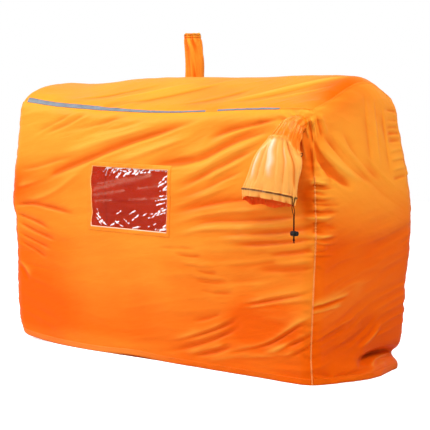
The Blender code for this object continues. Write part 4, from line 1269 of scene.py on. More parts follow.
# the binding carries a painted highlight where the film's edge catches the light
bindingOffsets = np.array([-0.0020, -0.0015, -0.0006, 0.0004, 0.0010])
bindingRise = np.array([-0.0004, 0.0006, 0.0015, 0.0024, 0.0022])
rectangleRing("windowBinding", bindingOffsets, bindingRise, binding, "clear_film", window["binding"], 1.0)
for name, number in (("Inner", 2), ("Outer", 4)):
    line = np.concatenate([spots[:, number], spots[:1, number]])
    sewn = wallLine("front", line[:, 0], line[:, 1], lift + 0.0018)
    stitchRow("windowStitches" + name, *sewn, trim["seamStitch"], trim["threadRadius"], thread)
print("window sewn in")


# Seats
seats = {
    "halfLength": 0.45, "inset": 0.023, "depth": 0.165, "gap": 0.0006, "thickness": 0.0011,
    "sewnAt": (0.006, 0.159), "stitch": 0.0040, "threadRadius": 0.00028,
}
shiftX, shiftY = shelter["shiftX"], shelter["shiftY"]
xs = np.linspace(-seats["halfLength"], seats["halfLength"], 181)
upwards = (0.0, 0.0, 1.0)
for side in ("front", "rear"):
    sideY, inward = walls[side]
    edge = sideY + inward * seats["inset"] + shiftY
    wallAt = drape(wallPoint(side, xs, 0.002), -0.0008)[:, 1] + inward * 0.0006
    parts = np.array([0.0, 0.1, 0.3, 0.5, 0.7, 0.9, 1.0])
    stripY = wallAt[:, None] * (1 - parts) + edge * parts
    wave = 0.0018 + 0.0007 * noise(51, xs[:, None] / 0.03, stripY / 0.02)
    outer = np.stack(np.broadcast_arrays(xs[:, None] + shiftX, stripY, wave), -1)
    uv = np.stack([outer[..., 0], stripY - edge], -1)
    marks = {"fold": 0.5, "faded": 0.5}
    piece = pieceFromGrid(side + "SeatStrip", outer, upwards, uv, seatCloth, marks, seats["thickness"])
    settle(piece, "shell", "seat_cloth", side + "_seat_strip")
    reach = seats["depth"] * np.linspace(0, 1, 42)
    a, b = grid(xs, edge + inward * (seats["gap"] + reach))
    soft = noise(53, a / 0.10, b / 0.05) + 0.4 * noise(54, a / 0.03, b / 0.02)
    atEdge = ease(np.abs(b - edge), 0.0, 0.02)
    outer = np.stack([a + shiftX, b, 0.0016 + 0.0022 * atEdge + 0.0018 * soft * atEdge], -1)
    # painted shade in the hollows of the seat's wrinkles and painted light on their tops
    marks = {"fold": np.clip(0.5 + 0.35 * soft, 0, 1), "faded": 0.5}
    piece = pieceFromGrid(
        side + "Seat", outer, upwards, np.stack([a, b], -1), seatCloth, marks, seats["thickness"],
    )
    settle(piece, side + "_seat", "seat_cloth", side + "_seat")
    for inset in seats["sewnAt"]:
        high = [np.interp(inset, reach, row) + 0.0002 for row in outer[..., 2]]
        path = np.stack(np.broadcast_arrays(xs + shiftX, edge + inward * (seats["gap"] + inset), high), -1)
        normals = np.broadcast_to(upwards, path.shape)
        name = "%sSeatStitches%d" % (side, round(inset * 1000))
        sewing = seats["stitch"], seats["threadRadius"], thread
        stitchRow(name, path, normals, *sewing, side + "_seat", "seat_cloth")
print("seats laid")


# Vent sleeves
def sleeveVent(face, x, up, lift, bend, rows):
    # each row is a ring: its middle from the vent's own place (x, out from the wall, up), half width and
    # half depth in millimetres, its tilt in degrees, and the way of its depth in y and z
    vent = {"face": face, "x": x, "up": up, "body": face + "_vent", "lift": lift, "bend": bend, "rings": []}
    for shift, out, rise, halfWidth, halfDepth, tilt, wayY, wayZ in rows:
        middle = (x + shift / 1000, walls[face][0] + out / 1000, vents["height"] + rise / 1000)
        wide = np.array((math.cos(math.radians(tilt)), 0, math.sin(math.radians(tilt)))) * halfWidth / 1000
        vent["rings"].append((*middle, *wide, *(unit(np.array((0.0, wayY, wayZ))) * halfDepth / 1000)))
    return vent


def baseRing(vent, angle, size, lift, folded=1.0):
    alongX = vent["x"] + vents["halfWidth"] * size * np.cos(angle)
    alongZ = vents["height"] + vent["up"] * vents["halfHeight"] * size * np.sin(angle)
    return drape(wallPoint(vent["face"], alongX, alongZ), lift, folded)


def sleeveMiddle(vent, at, angle):
    at, angle = np.broadcast_arrays(np.asarray(at, float), np.asarray(angle, float))
    shape = smooth(vent["rings"], np.maximum(at - 1, 0))
    centre = shape[..., 0:3] + (shiftX, shiftY, 0)
    free = centre + shape[..., 3:6] * np.cos(angle)[..., None] + shape[..., 6:9] * np.sin(angle)[..., None]
    near = np.minimum(at, 1)
    sewn = baseRing(vent, angle, 1.12 + 0.06 * near, 0.0024 + 0.0117 * near)
    share = ease(at, 0, 1)[..., None]
    return sewn * (1 - share) + free * share


def sleevePoint(vent, at, angle, lift):
    at, angle = np.broadcast_arrays(np.asarray(at, float), np.asarray(angle, float))
    last, step = len(vent["rings"]), 0.02
    here = sleeveMiddle(vent, at, angle)
    after, before = np.minimum(at + step, last), np.maximum(at - step, 0)
    onward = sleeveMiddle(vent, after, angle) - sleeveMiddle(vent, before, angle)
    roundIt = sleeveMiddle(vent, at, angle + step) - sleeveMiddle(vent, at, angle - step)
    lift = np.broadcast_to(np.asarray(lift, float), at.shape)
    return here + unit(np.cross(roundIt, onward)) * lift[..., None]


def roundNoise(at, angle, cellsRound, cellAlong, seed, twist=0.0):
    # noise round a tube: the two halves meet without a step
    turned = angle + twist * at
    return noise(seed, np.cos(turned) * cellsRound / 6.28, np.sin(turned) * cellsRound / 6.28, at / cellAlong)


# Folds of the front sleeve: place round it in degrees at its top and foot, half width in degrees,
# height, and the stations between which it runs. Ninety degrees faces away from the wall.
frontSleeveFolds = [
    (104, 83, 7.0, 0.0040, 2.2, 5.2), (136, 130, 6.0, 0.0034, 2.8, 5.6), (112, 97, 3.2, -0.0022, 2.4, 5.6),
    (73, 48, 4.0, -0.0034, 2.2, 5.9), (65, 8, 5.0, -0.0048, 2.15, 5.9), (69, 30, 5.0, 0.0030, 2.3, 5.8),
    (88, 68, 3.5, -0.0020, 2.6, 5.9), (82, 60, 4.0, 0.0018, 3.0, 5.8), (122, 114, 4.0, -0.0024, 2.7, 5.9),
    (50, -8, 6.0, 0.0036, 2.4, 5.7), (150, 146, 5.0, -0.0026, 2.6, 5.9),
    (230, 225, 12, 0.0040, 2.0, 5.8), (300, 305, 12, -0.0040, 2.0, 5.8),
]


def frontSleeveLift(at, angle):
    degrees = np.degrees(angle) % 360
    total = np.zeros(np.broadcast(at, angle).shape)
    for top, foot, halfWidth, height, start, end in frontSleeveFolds:
        part = np.clip((at - start) / (end - start), 0, 1)
        away = np.abs((degrees - (top + (foot - top) * part) + 180) % 360 - 180) / halfWidth
        total = total + height * np.exp(-(away**1.6)) * ease(at, start, start + 0.8) * ease(end - at, 0, 0.9)
    below = at - sleeveLip(angle)
    base = ease(at, 0.12, 0.55) * (1 - ease(below, -0.1, 0.3))
    total = total + 0.0036 * base * roundNoise(at, angle, 24, 1.4, 61)
    total = total + 0.0030 * base * roundNoise(at, angle, 50, 0.8, 62)
    # the gathers end in a lip
    total = total + 0.0036 * ease(below, -0.10, 0.03) * (1 - ease(below, 0.05, 0.30))
    middle = ease(at, 2.2, 2.8) * (1 - ease(at, 5.4, 6.2))
    total = total + 0.0010 * middle * roundNoise(at, angle, 22, 3.6, 63)
    gathered = ease(at, 5.2, 6.0)
    total = total + 0.0022 * gathered * roundNoise(at, angle, 75, 1.4, 64)
    frill = ease(at, 6.3, 7.0)
    return total + 0.0036 * frill * roundNoise(at, angle, 50, 2.0, 65)


def sleeveLip(angle):
    # the station where the gathers end: lower down on the right side of the sleeve
    degrees = (np.degrees(angle) + 90) % 360 - 90
    return 2.38 + 0.95 * ease(75 - degrees, 0, 65)


def sleeveShine(at, angle):
    # two ridges of the front sleeve with painted near-white highlights: place in degrees, width, first and
    # last station
    degrees, total = np.degrees(angle), 0.0
    for top, foot, halfWidth, start, end, strength in (
        (103, 86, 6.5, 2.5, 5.2, 1.0), (112, 97, 2.4, 2.6, 4.6, 0.8), (138, 131, 6.0, 3.4, 5.6, 0.85),
        (62, 54, 3.0, 3.0, 4.6, 0.35),
    ):
        place = top + (foot - top) * (at - start) / (end - start)
        away = (degrees - place - 1.2 * np.sin(6 * at)) / halfWidth
        total = total + strength * np.exp(-(away**2)) * ease(at, start, start + 0.3) * ease(end - at, 0, 1.2)
    return np.clip(total, 0, 1)


def rearSleeveLift(at, angle):
    base = ease(at, 0.12, 0.6) * (1 - ease(at, 1.5, 2.6))
    total = 0.0035 * base * roundNoise(at, angle, 26, 0.8, 71)
    body = ease(at, 1.2, 2.4) * (1 - 0.4 * ease(at, 7.2, 7.7))
    total = total + 0.0042 * body * roundNoise(at, angle, 13, 4.0, 72, 0.16)
    ridged = 0.5 - np.abs(roundNoise(at, angle, 20, 3.0, 73, 0.22)) * 1.8
    total = total + 0.0026 * body * ridged
    total = total + 0.0010 * body * roundNoise(at, angle, 40, 1.0, 74, 0.2)
    gathered = ease(at, 6.6, 7.4)
    total = total + 0.0022 * gathered * roundNoise(at, angle, 42, 1.6, 75)
    frill = ease(at, 8.0, 9.0)
    return total + 0.0048 * frill * roundNoise(at, angle, 22, 3.0, 76)


# Each vent also holds a bend, where its sleeve would leave the wall's body for its own; nothing reads it.
frontVent = sleeveVent(
    "front", vents["frontX"], 1, frontSleeveLift, ((0.6581, -0.2465, 0.8210), (0.6581, -0.2735, 0.8148)), [
        (1, -27, -5, 43, 28, 0, -0.45, 0.9), (-5, -41, -29, 54, 29, 0, -0.85, 0.5),
        (-22, -49, -61, 72, 29, -3, -0.98, 0.15), (-34, -54, -111, 99, 29, -4, -1, 0.05),
        (-52, -56, -166, 104, 29, -4.5, -1, 0.15), (-66, -56, -211, 110, 29, -4.5, -1, 0.30),
        (-71, -56, -241, 110, 28, -4.5, -1, 0.40),
    ],
)
rearVent = sleeveVent(
    "rear", vents["rearX"], -1, rearSleeveLift, ((-0.3053, 0.2543, 0.8720), (-0.3053, 0.2693, 0.8807)), [
        (0, 33, 6, 42, 30, 0, 0.60, -0.8), (-2, 47, 34, 40, 36, 0, 0.95, -0.3), (-3, 49, 82, 39, 36, 0, 1, 0),
        (-3, 48, 142, 38, 35, 0, 1, 0), (-1, 47, 202, 36, 33, 0, 1, 0), (-5, 46, 254, 34, 31, 0, 1, 0),
        (-10, 45, 284, 34, 30, 0, 1, 0), (-12, 45, 307, 31, 27, 0, 1, 0), (-12, 45, 322, 25, 22, 0, 1, 0),
    ],
)


def turnRound(count):
    return np.linspace(0, 2 * math.pi, count, endpoint=False)


def tubeGrid(vent, stations, angles, extra):
    a, s = grid(angles, stations)
    lifts = vent["lift"](s, a)
    outer = sleevePoint(vent, s, a, lifts + extra)
    outward = sleevePoint(vent, s, a, lifts + extra + 0.001) - outer
    around, along = (np.linalg.norm(np.diff(outer, axis=axis), axis=-1).mean() for axis in (0, 1))
    uv = np.stack(grid(np.arange(len(angles)) * around, np.arange(len(stations)) * along), -1)
    # the last value paints shade in the sleeve's hollows and light on its ridges
    return outer, outward, uv, np.clip(0.5 + lifts / 0.012, 0, 1)


def bendWith(piece, vent, slot, *nodes):
    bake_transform(piece)
    if nodes:
        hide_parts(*nodes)
    return piece


sleeves = {"thickness": 0.0007, "lift": 0.0006}
fullTurn = turnRound(216)
stations = np.concatenate([np.linspace(0, 2, 44)[:-1], np.linspace(2, 6, 52)[:-1], np.linspace(6, 7, 18)])
outer, outward, uv, tone = tubeGrid(frontVent, stations, fullTurn, sleeves["lift"])
# the back of the frill hangs lower than its front
atBack = np.maximum(0, -np.sin(fullTurn + 0.80))[:, None] ** 0.7
outer[..., 2] -= 0.0135 * ease(stations, 6.35, 7.0) * atBack * (1 + 0.3 * np.sin(7 * fullTurn)[:, None])
marks = {
    "fold": tone, "pale": sleeveShine(stations, fullTurn[:, None]),
    "faded": ease(stations - sleeveLip(fullTurn[:, None]), 0, 0.25) * (1 - 0.4 * ease(stations, 6.3, 7)),
}
frontSleeve = pieceFromGrid(
    "frontSleeve", outer, outward, uv, sleeveNylon, marks, sleeves["thickness"], mouthNylon, loop=True,
)
bendWith(frontSleeve, frontVent, "coated_nylon", "front_vent_sleeve")

stations = np.concatenate([np.linspace(0, 2, 40)[:-1], np.linspace(2, 7, 70)[:-1], np.linspace(7, 9, 34)])
outer, outward, uv, tone = tubeGrid(rearVent, stations, turnRound(168), sleeves["lift"])
marks = {"fold": tone, "faded": 0.72}
rearSleeve = pieceFromGrid(
    "rearSleeve", outer, outward, uv, nylon, marks, sleeves["thickness"], nylonInside, loop=True,
)
bendWith(rearSleeve, rearVent, "coated_nylon", "rear_vent_sleeve")

collar = {
    "sizes": np.array([0.96, 0.99, 1.08, 1.16, 1.25, 1.31, 1.34]), "sewnAt": (1.05, 1.27),
    "rise": lift + np.array([0.0004, 0.0010, 0.0012, 0.0013, 0.0012, 0.0010, 0.0004]),
}
for side, vent in (("front", frontVent), ("rear", rearVent)):
    a, s = grid(turnRound(110), collar["sizes"])
    outer, uv = baseRing(vent, a, s, collar["rise"]), np.stack([a * 0.034, (s - 1.15) * 0.03], -1)
    marks = {"fold": 0.45, "faded": 0.8}
    piece = pieceFromGrid(
        side + "Collar", outer, facing[side], uv, nylon, marks, trim["thickness"], loop=True,
    )
    settle(piece, "shell", "coated_nylon", side + "_vent_collar")
    line = np.linspace(0, 2 * math.pi, 160)
    for size in collar["sewnAt"]:
        path = baseRing(vent, line, size, lift + 0.0014)
        normals = unit(baseRing(vent, line, size, 0.001, 0) - baseRing(vent, line, size, 0.0, 0))
        name = "%sCollarStitches%d" % (side, round(size * 100))
        stitchRow(name, path, normals, trim["seamStitch"], trim["threadRadius"], thread)
print("vent sleeves shaped")


# Drawcords and their channels
cords = {
    "radius": 0.00125, "exit": math.radians(12), "frontAt": 6.15, "rearAt": 8.35, "opening": 0.0066,
    "loopOpening": 0.0036, "lockDrop": 0.090, "hangSide": 0.0060, "knotDrop": 0.0215, "strandHalf": 0.0016,
    "lift": 0.00265, "bend": 0.030, "bow": 0.0026,
}


def turnFor(vent, at, angle, length):
    # the turn in radians that goes a given length round the sleeve
    step = 0.01
    before, after = (sleevePoint(vent, at, turned, cords["lift"]) for turned in (angle - step, angle + step))
    return length * 2 * step / float(np.linalg.norm(after - before))


def openTurn(vent, at, count, opening, length):
    slot = turnFor(vent, at, opening, length)
    return np.linspace(opening + slot, opening + 2 * math.pi - slot, count)


def channel(side, vent, at, stations, raised, opening, material, faded, shadeWidth):
    run = openTurn(vent, stations[2], 190, opening, cords["opening"])
    a, s = grid(run, stations)
    waves = vent["lift"](s, a)
    outer = sleevePoint(vent, s, a, waves + raised)
    outward = sleevePoint(vent, s, a, waves + raised + 0.001) - outer
    # the dark cord shows through along its tunnel, broken where the cloth stands off it
    broken = 0.80 + 0.20 * ease(noise(81, run / 0.055, 0), -0.60, -0.20)[:, None]
    # fold paints shade in the gathers' hollows and light on their crests
    marks = {
        "fold": np.clip(0.5 + waves / 0.008, 0, 1), "faded": faded,
        "cordShade": 0.95 * np.clip(broken * 1.1 * np.exp(-(((s - at) / shadeWidth) ** 4)), 0, 1),
    }
    uv = np.stack(grid(run * 0.07, stations * 0.03), -1)
    piece = pieceFromGrid(side + "Channel", outer, outward, uv, material, marks, trim["thickness"], material)
    settle(piece, vent["body"], "coated_nylon", side + "_vent_channel")


frontAt, rearAt = cords["frontAt"], cords["rearAt"]
channel(
    "front", frontVent, frontAt,
    np.array([*frontAt + np.array([-0.17, -0.12, -0.06, 0, 0.06, 0.12, 0.17]), 6.50, 6.66, 6.82, 6.93, 6.98]),
    np.array([0.0012, 0.0020, 0.0036, 0.0046, 0.0036, 0.0020, *[0.0016] * 5, 0.0010]),
    cords["exit"], sleeveNylon, 0.95, 0.10,
)
channel(
    "rear", rearVent, rearAt, rearAt + np.array([-0.55, -0.38, -0.19, 0, 0.19, 0.38, 0.55]),
    np.array([0.0012, 0.0022, 0.0038, 0.0044, 0.0038, 0.0022, 0.0012]), math.pi / 2, nylon, 0.72, 0.14,
)


def cordTube(name, points, radius, material, sides=12):
    # a round cord along the points, its UV running round it and along it
    points = np.asarray(points, float)
    ahead, along = unit(np.gradient(points, axis=0)), lengths(points)
    side = np.cross(ahead[0], (0.31, 0.2, 0.93))
    turns = [2 * math.pi * k / sides for k in range(sides)]
    verts, faces, uvs = [], [], []
    for point, way in zip(points, ahead):
        side = unit(side - way * (side @ way))
        other = np.cross(way, side)
        verts += [point + radius * (side * math.cos(turn) + other * math.sin(turn)) for turn in turns]
    for i in range(len(points) - 1):
        low, high = i * sides, (i + 1) * sides
        for k in range(sides):
            n, left, right = (k + 1) % sides, k / sides, (k + 1) / sides
            faces.append((low + k, low + n, high + n, high + k))
            uvs += [(left, along[i]), (right, along[i]), (right, along[i + 1]), (left, along[i + 1])]
    for first, sign, end in ((0, -1, 0), (len(verts) - sides, 1, -1)):
        centre = len(verts)
        verts.append(points[end] + ahead[end] * sign * radius * 0.55)
        for k in range(sides):
            n = (k + 1) % sides
            faces.append((centre, first + n, first + k) if sign < 0 else (centre, first + k, first + n))
            uvs += [(0.5, 0.0), (k / sides, radius), ((k + 1) / sides, radius)]
    return newPiece(name, verts, faces, uvs, [material], True)


for side, vent, at, opening in (
    ("front", frontVent, frontAt, cords["exit"]), ("rear", rearVent, rearAt, math.pi / 2),
):
    run = openTurn(vent, at, 200, opening, cords["loopOpening"])
    points = sleevePoint(vent, at, run, vent["lift"](np.full(run.shape, at), run) + cords["lift"])
    piece = cordTube(side + "DrawcordLoop", points, cords["radius"], cordBlack)
    settle(piece, vent["body"], "black_cord", side + "_drawcord_loop")

# The two free ends come out at the channel's gap, run down the frill and hang through the lock.
wayOut = sleevePoint(frontVent, 7, cords["exit"], 0.00325)
hangX, hangY = float(wayOut[0]) + cords["hangSide"], float(wayOut[1]) - 0.0015
lockMiddle = np.array((hangX, hangY, float(wayOut[2]) - cords["lockDrop"]))
knotMiddle = lockMiddle + np.array((0, 0, -cords["knotDrop"]))
strandEnd = knotMiddle[2] + 0.0030
strands = {}
for title, side in (("Left", -1), ("Right", 1)):
    points = []
    for part in np.linspace(0, 1, 9):
        apart = cords["loopOpening"] * (1 - part) + (cords["strandHalf"] + 0.0004) * part
        at = frontAt + 0.05 + (7 - frontAt - 0.05) * part
        apart = side * turnFor(frontVent, at, cords["exit"], apart)
        points.append(sleevePoint(frontVent, at, cords["exit"] + apart, 0.00295))
    edgePoint = points[-1]
    beside = cords["strandHalf"] if edgePoint[0] > wayOut[0] else -cords["strandHalf"]
    freeTop = edgePoint[2] - 0.002
    freeBottom = freeTop - cords["bend"]
    for part in np.linspace(0, 1, 8):
        soft = part * part * (3 - 2 * part)
        bow = cords["bow"] * math.sin(math.pi * part) * (1 if beside > 0 else -1)
        points.append(np.array((
            edgePoint[0] * (1 - soft) + (hangX + beside) * soft + bow,
            edgePoint[1] * (1 - soft) + hangY * soft,
            freeTop + (freeBottom - freeTop) * part,
        )))
    for height in np.linspace(freeBottom, strandEnd, 13)[1:]:
        points.append(np.array((hangX + beside, hangY, height)))
    points = np.array(points)
    fine = smooth(points, np.linspace(0, len(points) - 1, 90))
    piece = cordTube("frontDrawcord" + title, fine, cords["radius"], cordBlack)
    settle(piece, "front_vent", "black_cord", "front_drawcord_" + title.lower())
    length = float(np.linalg.norm(np.diff(fine, axis=0), axis=1).sum())
    strands[title] = (piece, fine, length)

# Overhand knot with two short tails.
overhand = {
    "wide": 0.00105, "deep": 0.0013, "tall": 0.00110, "radius": 0.00118, "tailRadius": 0.00112,
    "tailAt": 0.0026, "tailReach": 0.0016, "tailDrop": 0.0066,
}
turn = turnRound(72)
knotLine = np.stack([
    (np.sin(turn) + 2 * np.sin(2 * turn)) * overhand["wide"], np.sin(3 * turn) * overhand["deep"],
    (np.cos(turn) - 2 * np.cos(2 * turn)) * overhand["tall"],
], -1)
knotLine = np.concatenate([knotLine[3:], knotLine[:1]]) + knotMiddle
knot = cordTube("frontDrawcordKnot", knotLine, overhand["radius"], cordBlack)
settle(knot, "front_vent", "black_cord", "front_drawcord_knot")
tails, steps = [], np.linspace(0, 1, 8)
for title, side in (("Left", -1), ("Right", 1)):
    line = knotMiddle + np.stack([
        side * (0.0010 + overhand["tailReach"] * steps), np.full(8, 0.0004),
        -overhand["tailAt"] - overhand["tailDrop"] * steps,
    ], -1)
    tail = cordTube("frontDrawcordTail" + title, line, overhand["tailRadius"], cordBlack)
    tails.append(settle(tail, "front_vent", "black_cord"))

# Keeper loop on the sleeve's right side.
keeper = {"at": 3.5, "reach": 0.085, "height": 0.0082, "radius": 0.0010, "lift": 0.0012}
line = []
for part in np.linspace(0, math.pi, 40):
    at = keeper["at"] - keeper["reach"] * math.cos(part)
    high = keeper["lift"] + keeper["height"] * math.sin(part)
    high += float(frontSleeveLift(np.array(at), np.array(0.0)))
    line.append(sleevePoint(frontVent, at, 0.0, high))
settle(cordTube("keeperLoop", line, keeper["radius"], cordBlack), "front_vent", "black_cord", "keeper_loop")
print("drawcords laid")


# Cord lock
lock = {
    "left": 0.0102, "right": 0.0082, "radius": 0.0088, "bore": 0.0054, "boreEnd": 0.0090, "stem": 0.0051,
    "press": 0.0030, "slotHalf": 0.00325, "slotWide": 0.00165, "slotRound": 0.0012, "ribs": 20,
    "ribHeight": 0.0006, "edge": 0.00018, "headGap": 0.0004, "stemBehind": 0.0012,
}


def mode(name):
    bpy.ops.object.mode_set(mode=name)


def selectNone():
    bpy.ops.object.select_all(action="DESELECT")


def cylinderAlongX(name, start, end, radius, sides):
    selectNone()
    bpy.ops.mesh.primitive_cylinder_add(
        vertices=sides, radius=radius, depth=end - start, rotation=(0, math.pi / 2, 0),
        location=(lockMiddle[0] + (start + end) / 2, lockMiddle[1], lockMiddle[2]),
    )
    piece = bpy.context.object
    piece.name = name
    bpy.ops.object.transform_apply(location=True, rotation=True, scale=True)
    return piece


def pickFaces(piece, test):
    mode("EDIT")
    bpy.ops.mesh.select_mode(type="FACE")
    bpy.ops.mesh.select_all(action="DESELECT")
    mode("OBJECT")
    for polygon in piece.data.polygons:
        polygon.select = bool(test(polygon))
    mode("EDIT")


def cutWith(piece, tool):
    step = piece.modifiers.new("cut", "BOOLEAN")
    step.operation = "DIFFERENCE"
    step.solver = "EXACT"
    step.object = tool
    applyModifiers(piece)
    bpy.data.objects.remove(tool, do_unlink=True)


def slotTool(low, high):
    selectNone()
    bpy.ops.mesh.primitive_cube_add(
        size=1, location=(lockMiddle[0] + (low + high) / 2, lockMiddle[1], lockMiddle[2]),
        scale=(high - low, 2 * lock["slotWide"], 0.04),
    )
    tool = bpy.context.object
    bpy.ops.object.transform_apply(location=True, rotation=True, scale=True)
    mode("EDIT")
    bpy.ops.mesh.select_mode(type="EDGE")
    bpy.ops.mesh.select_all(action="DESELECT")
    mode("OBJECT")
    for edge in tool.data.edges:
        first, second = (tool.data.vertices[k].co for k in edge.vertices)
        edge.select = abs(first.z - second.z) > 0.03
    mode("EDIT")
    bpy.ops.mesh.bevel(offset=lock["slotRound"], segments=4, affect="EDGES")
    mode("OBJECT")
    return tool


def markWear(piece):
    # edges that face outwards are rubbed paler
    tidy = bmesh.new()
    tidy.from_mesh(piece.data)
    values = []
    for vert in tidy.verts:
        sharp = max([edge.calc_face_angle(0) for edge in vert.link_edges], default=0)
        values.append(min(1.0, sharp / 1.2))
    tidy.free()
    attribute = piece.data.attributes.new("worn", "FLOAT", "POINT")
    attribute.data.foreach_set("value", np.array(values, np.float32))


def finishPart(piece, material):
    piece.data.materials.clear()
    piece.data.materials.append(material)
    soften = piece.modifiers.new("soften", "BEVEL")
    soften.width = lock["edge"]
    soften.segments = 2
    soften.limit_method = "ANGLE"
    soften.angle_limit = math.radians(40)
    applyModifiers(piece)
    markWear(piece)
    selectNone()
    piece.select_set(True)
    bpy.context.view_layer.objects.active = piece
    bpy.ops.object.shade_smooth_by_angle(angle=math.radians(35))
    selectNone()


def closeUp():
    # leaves the edit mode with every face looking outwards
    bpy.ops.mesh.select_all(action="SELECT")
    bpy.ops.mesh.normals_make_consistent(inside=False)
    mode("OBJECT")


def fromAxis(spot):
    return math.hypot(spot.y - lockMiddle[1], spot.z - lockMiddle[2])


housing = cylinderAlongX(
    "cordLockHousing", -lock["left"], lock["right"], lock["radius"] - lock["ribHeight"], lock["ribs"] * 3,
)
# both ends are stepped in, and every third side face is drawn out as a grip rib
pickFaces(housing, lambda face: abs(face.normal.x) > 0.9)
bpy.ops.mesh.inset(thickness=0.0007, depth=0.0)
bpy.ops.mesh.inset(thickness=0.0006, depth=0.0)
mode("OBJECT")
for vert in housing.data.vertices:
    within = lock["radius"] - fromAxis(vert.co)
    stepIn = 0.0011 if within < 0.0009 else 0.0004 if within < 0.0016 else 0.0
    vert.co.x -= math.copysign(stepIn, vert.co.x - lockMiddle[0])
ribStep = 2 * math.pi / lock["ribs"]


def onRib(face):
    if abs(face.normal.x) > 0.2 or face.area < 3e-6:
        return False
    turn = math.atan2(face.center.z - lockMiddle[2], face.center.y - lockMiddle[1]) / ribStep
    return abs(turn - round(turn)) < 0.2


pickFaces(housing, onRib)
bpy.ops.mesh.inset(thickness=0.00022, depth=0.0, use_individual=True)
bpy.ops.mesh.extrude_region_shrink_fatten(TRANSFORM_OT_shrink_fatten={"value": -lock["ribHeight"]})
closeUp()
cutWith(housing, cylinderAlongX("boreTool", -lock["boreEnd"], 0.02, lock["bore"], 40))
cutWith(housing, slotTool(-lock["slotHalf"], lock["slotHalf"]))
finishPart(housing, plastic)
settle(housing, "cord_lock", "black_plastic", "cord_lock_housing")

stemEnd = -lock["slotHalf"] - lock["stemBehind"]
headStart = lock["right"] + lock["press"] + lock["headGap"]
plunger = cylinderAlongX("cordLockPlunger", stemEnd, headStart, lock["stem"], 40)
pickFaces(plunger, lambda face: face.normal.x > 0.9)
for length, radius in ((0.0001, 0.0066), (0.0006, 0.0076), (0.0018, 0.0075), (0.0009, 0.0054)):
    # each step draws the end face out and then scales it to the next radius
    bpy.ops.mesh.extrude_region_move(TRANSFORM_OT_translate={"value": (length, 0, 0)})
    mode("OBJECT")
    ends = [plunger.data.vertices[k] for face in plunger.data.polygons if face.select for k in face.vertices]
    reach = max(fromAxis(vert.co) for vert in ends)
    mode("EDIT")
    bpy.ops.transform.resize(value=(1, radius / reach, radius / reach), center_override=tuple(lockMiddle))
bpy.ops.mesh.inset(thickness=0.0012, depth=-0.0003)
closeUp()
cutWith(plunger, slotTool(-lock["slotHalf"], lock["slotHalf"] + lock["press"]))
finishPart(plunger, plastic)
settle(plunger, "cord_lock_button", "black_plastic", "cord_lock_plunger")

wire = {"radius": 0.00030, "coil": 0.0036, "turns": 3.0, "clear": 0.0003}
coilStart = -lock["boreEnd"] + wire["radius"] + wire["clear"]
coilEnd = stemEnd - wire["radius"] - wire["clear"]
part = np.linspace(0, 1, 90)
turned = part * wire["turns"] * 2 * math.pi
coilLine = lockMiddle + np.stack([
    coilStart + (coilEnd - coilStart) * ease(part, -0.1, 1.1),
    wire["coil"] * np.cos(turned), wire["coil"] * np.sin(turned),
], -1)
spring = cordTube("cordLockSpring", coilLine, wire["radius"], steel, 8)
settle(spring, "cord_lock", "spring_steel", "cord_lock_spring")
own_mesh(spring)
print("cord lock made")


# Loops over the strands and end panels, which do nothing
for title, pieces in (("Left", [knot, housing, plunger, spring, *tails]), ("Right", [])):
    piece, line, length = strands[title]


def found(*parts):
    return [o for o in bpy.data.objects if "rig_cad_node" not in o and any(part in o.name for part in parts)]


for piece, side in ((leftEnd, "left"), (rightEnd, "right")):
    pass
for side, flat in (("front", (0.46, 0.036)), ("rear", (0.17, 0.026))):
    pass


# Floor, light and camera
studio = {"floor": 7.0, "key": 96.0, "top": 76.0, "fill": 108.0, "sky": 0.34, "floorWhite": 0.75}


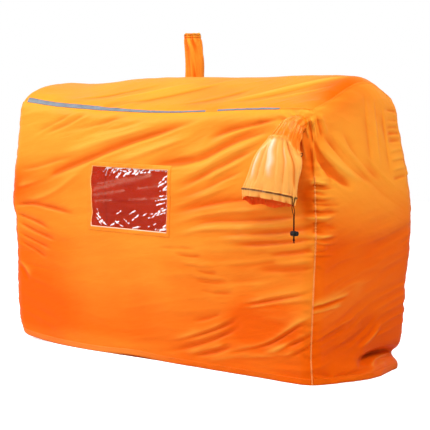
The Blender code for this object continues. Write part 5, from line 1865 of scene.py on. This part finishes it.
def studioFloor():
    selectNone()
    bpy.ops.mesh.primitive_circle_add(vertices=128, radius=studio["floor"], fill_type="NGON")
    floor = bpy.context.object
    floor.name = "studioFloor"
    material, tree, shader = newMaterial("paleFloor")
    shader.inputs["Base Color"].default_value = (0.70, 0.70, 0.70, 1)
    shader.inputs["Roughness"].default_value = 0.7
    # the camera sees the floor brighter than it lights the cloth
    glow = makeNode(tree, "ShaderNodeEmission", Strength=studio["floorWhite"])
    both = tree.nodes.new("ShaderNodeAddShader")
    tree.links.new(shader.outputs[0], both.inputs[0])
    tree.links.new(glow.outputs[0], both.inputs[1])
    ray = tree.nodes.new("ShaderNodeLightPath").outputs["Is Camera Ray"]
    mixShaders(tree, ray, shader, both, "Material Output")
    floor.data.materials.append(material)
    floor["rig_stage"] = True


def studioWorld():
    world = bpy.data.worlds.new("paleStudio")
    bpy.context.scene.world = world
    world.use_nodes = True
    tree = world.node_tree
    soft = tree.nodes["Background"]
    soft.inputs["Color"].default_value = (0.97, 0.98, 1.0, 1)
    soft.inputs["Strength"].default_value = studio["sky"]
    white = makeNode(tree, "ShaderNodeBackground", Color=(1, 1, 1, 1), Strength=1.0)
    light = tree.nodes.new("ShaderNodeLightPath")
    seen = light.outputs["Is Camera Ray"]
    for ray in ("Is Transmission Ray", "Is Glossy Ray"):
        seen = calc(tree, "MAXIMUM", seen, light.outputs[ray])
    mixShaders(tree, seen, soft, white, "World Output")


def aim(thing, place, target):
    x, y, z = np.subtract(place, target)
    thing.rotation_euler = (math.atan2(math.hypot(x, y), z), 0, math.atan2(y, x) + math.pi / 2)


studioFloor()
studioWorld()
for name, place, size in (
    ("key", (-2.7, -2.3, 2.0), 0.9), ("top", (0.0, -1.1, 3.5), 1.8), ("fill", (2.6, -1.0, 3.3), 1.8),
):
    bpy.ops.object.light_add(type="AREA", location=place)
    lamp = bpy.context.object
    lamp.name = name + "Light"
    lamp.data.size = size
    lamp.data.energy = studio[name]
    aim(lamp, place, (0, 0, 0.5))

bpy.ops.object.camera_add(location=view["place"])
camera = bpy.context.object
aim(camera, view["place"], view["target"])
camera.data.lens = view["lens"]
camera.data.sensor_width = view["sensor"]
camera.data.clip_end = 100
bpy.context.scene.camera = camera
bpy.context.scene.view_settings.view_transform = "Standard"
print("studio ready")

low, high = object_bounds()
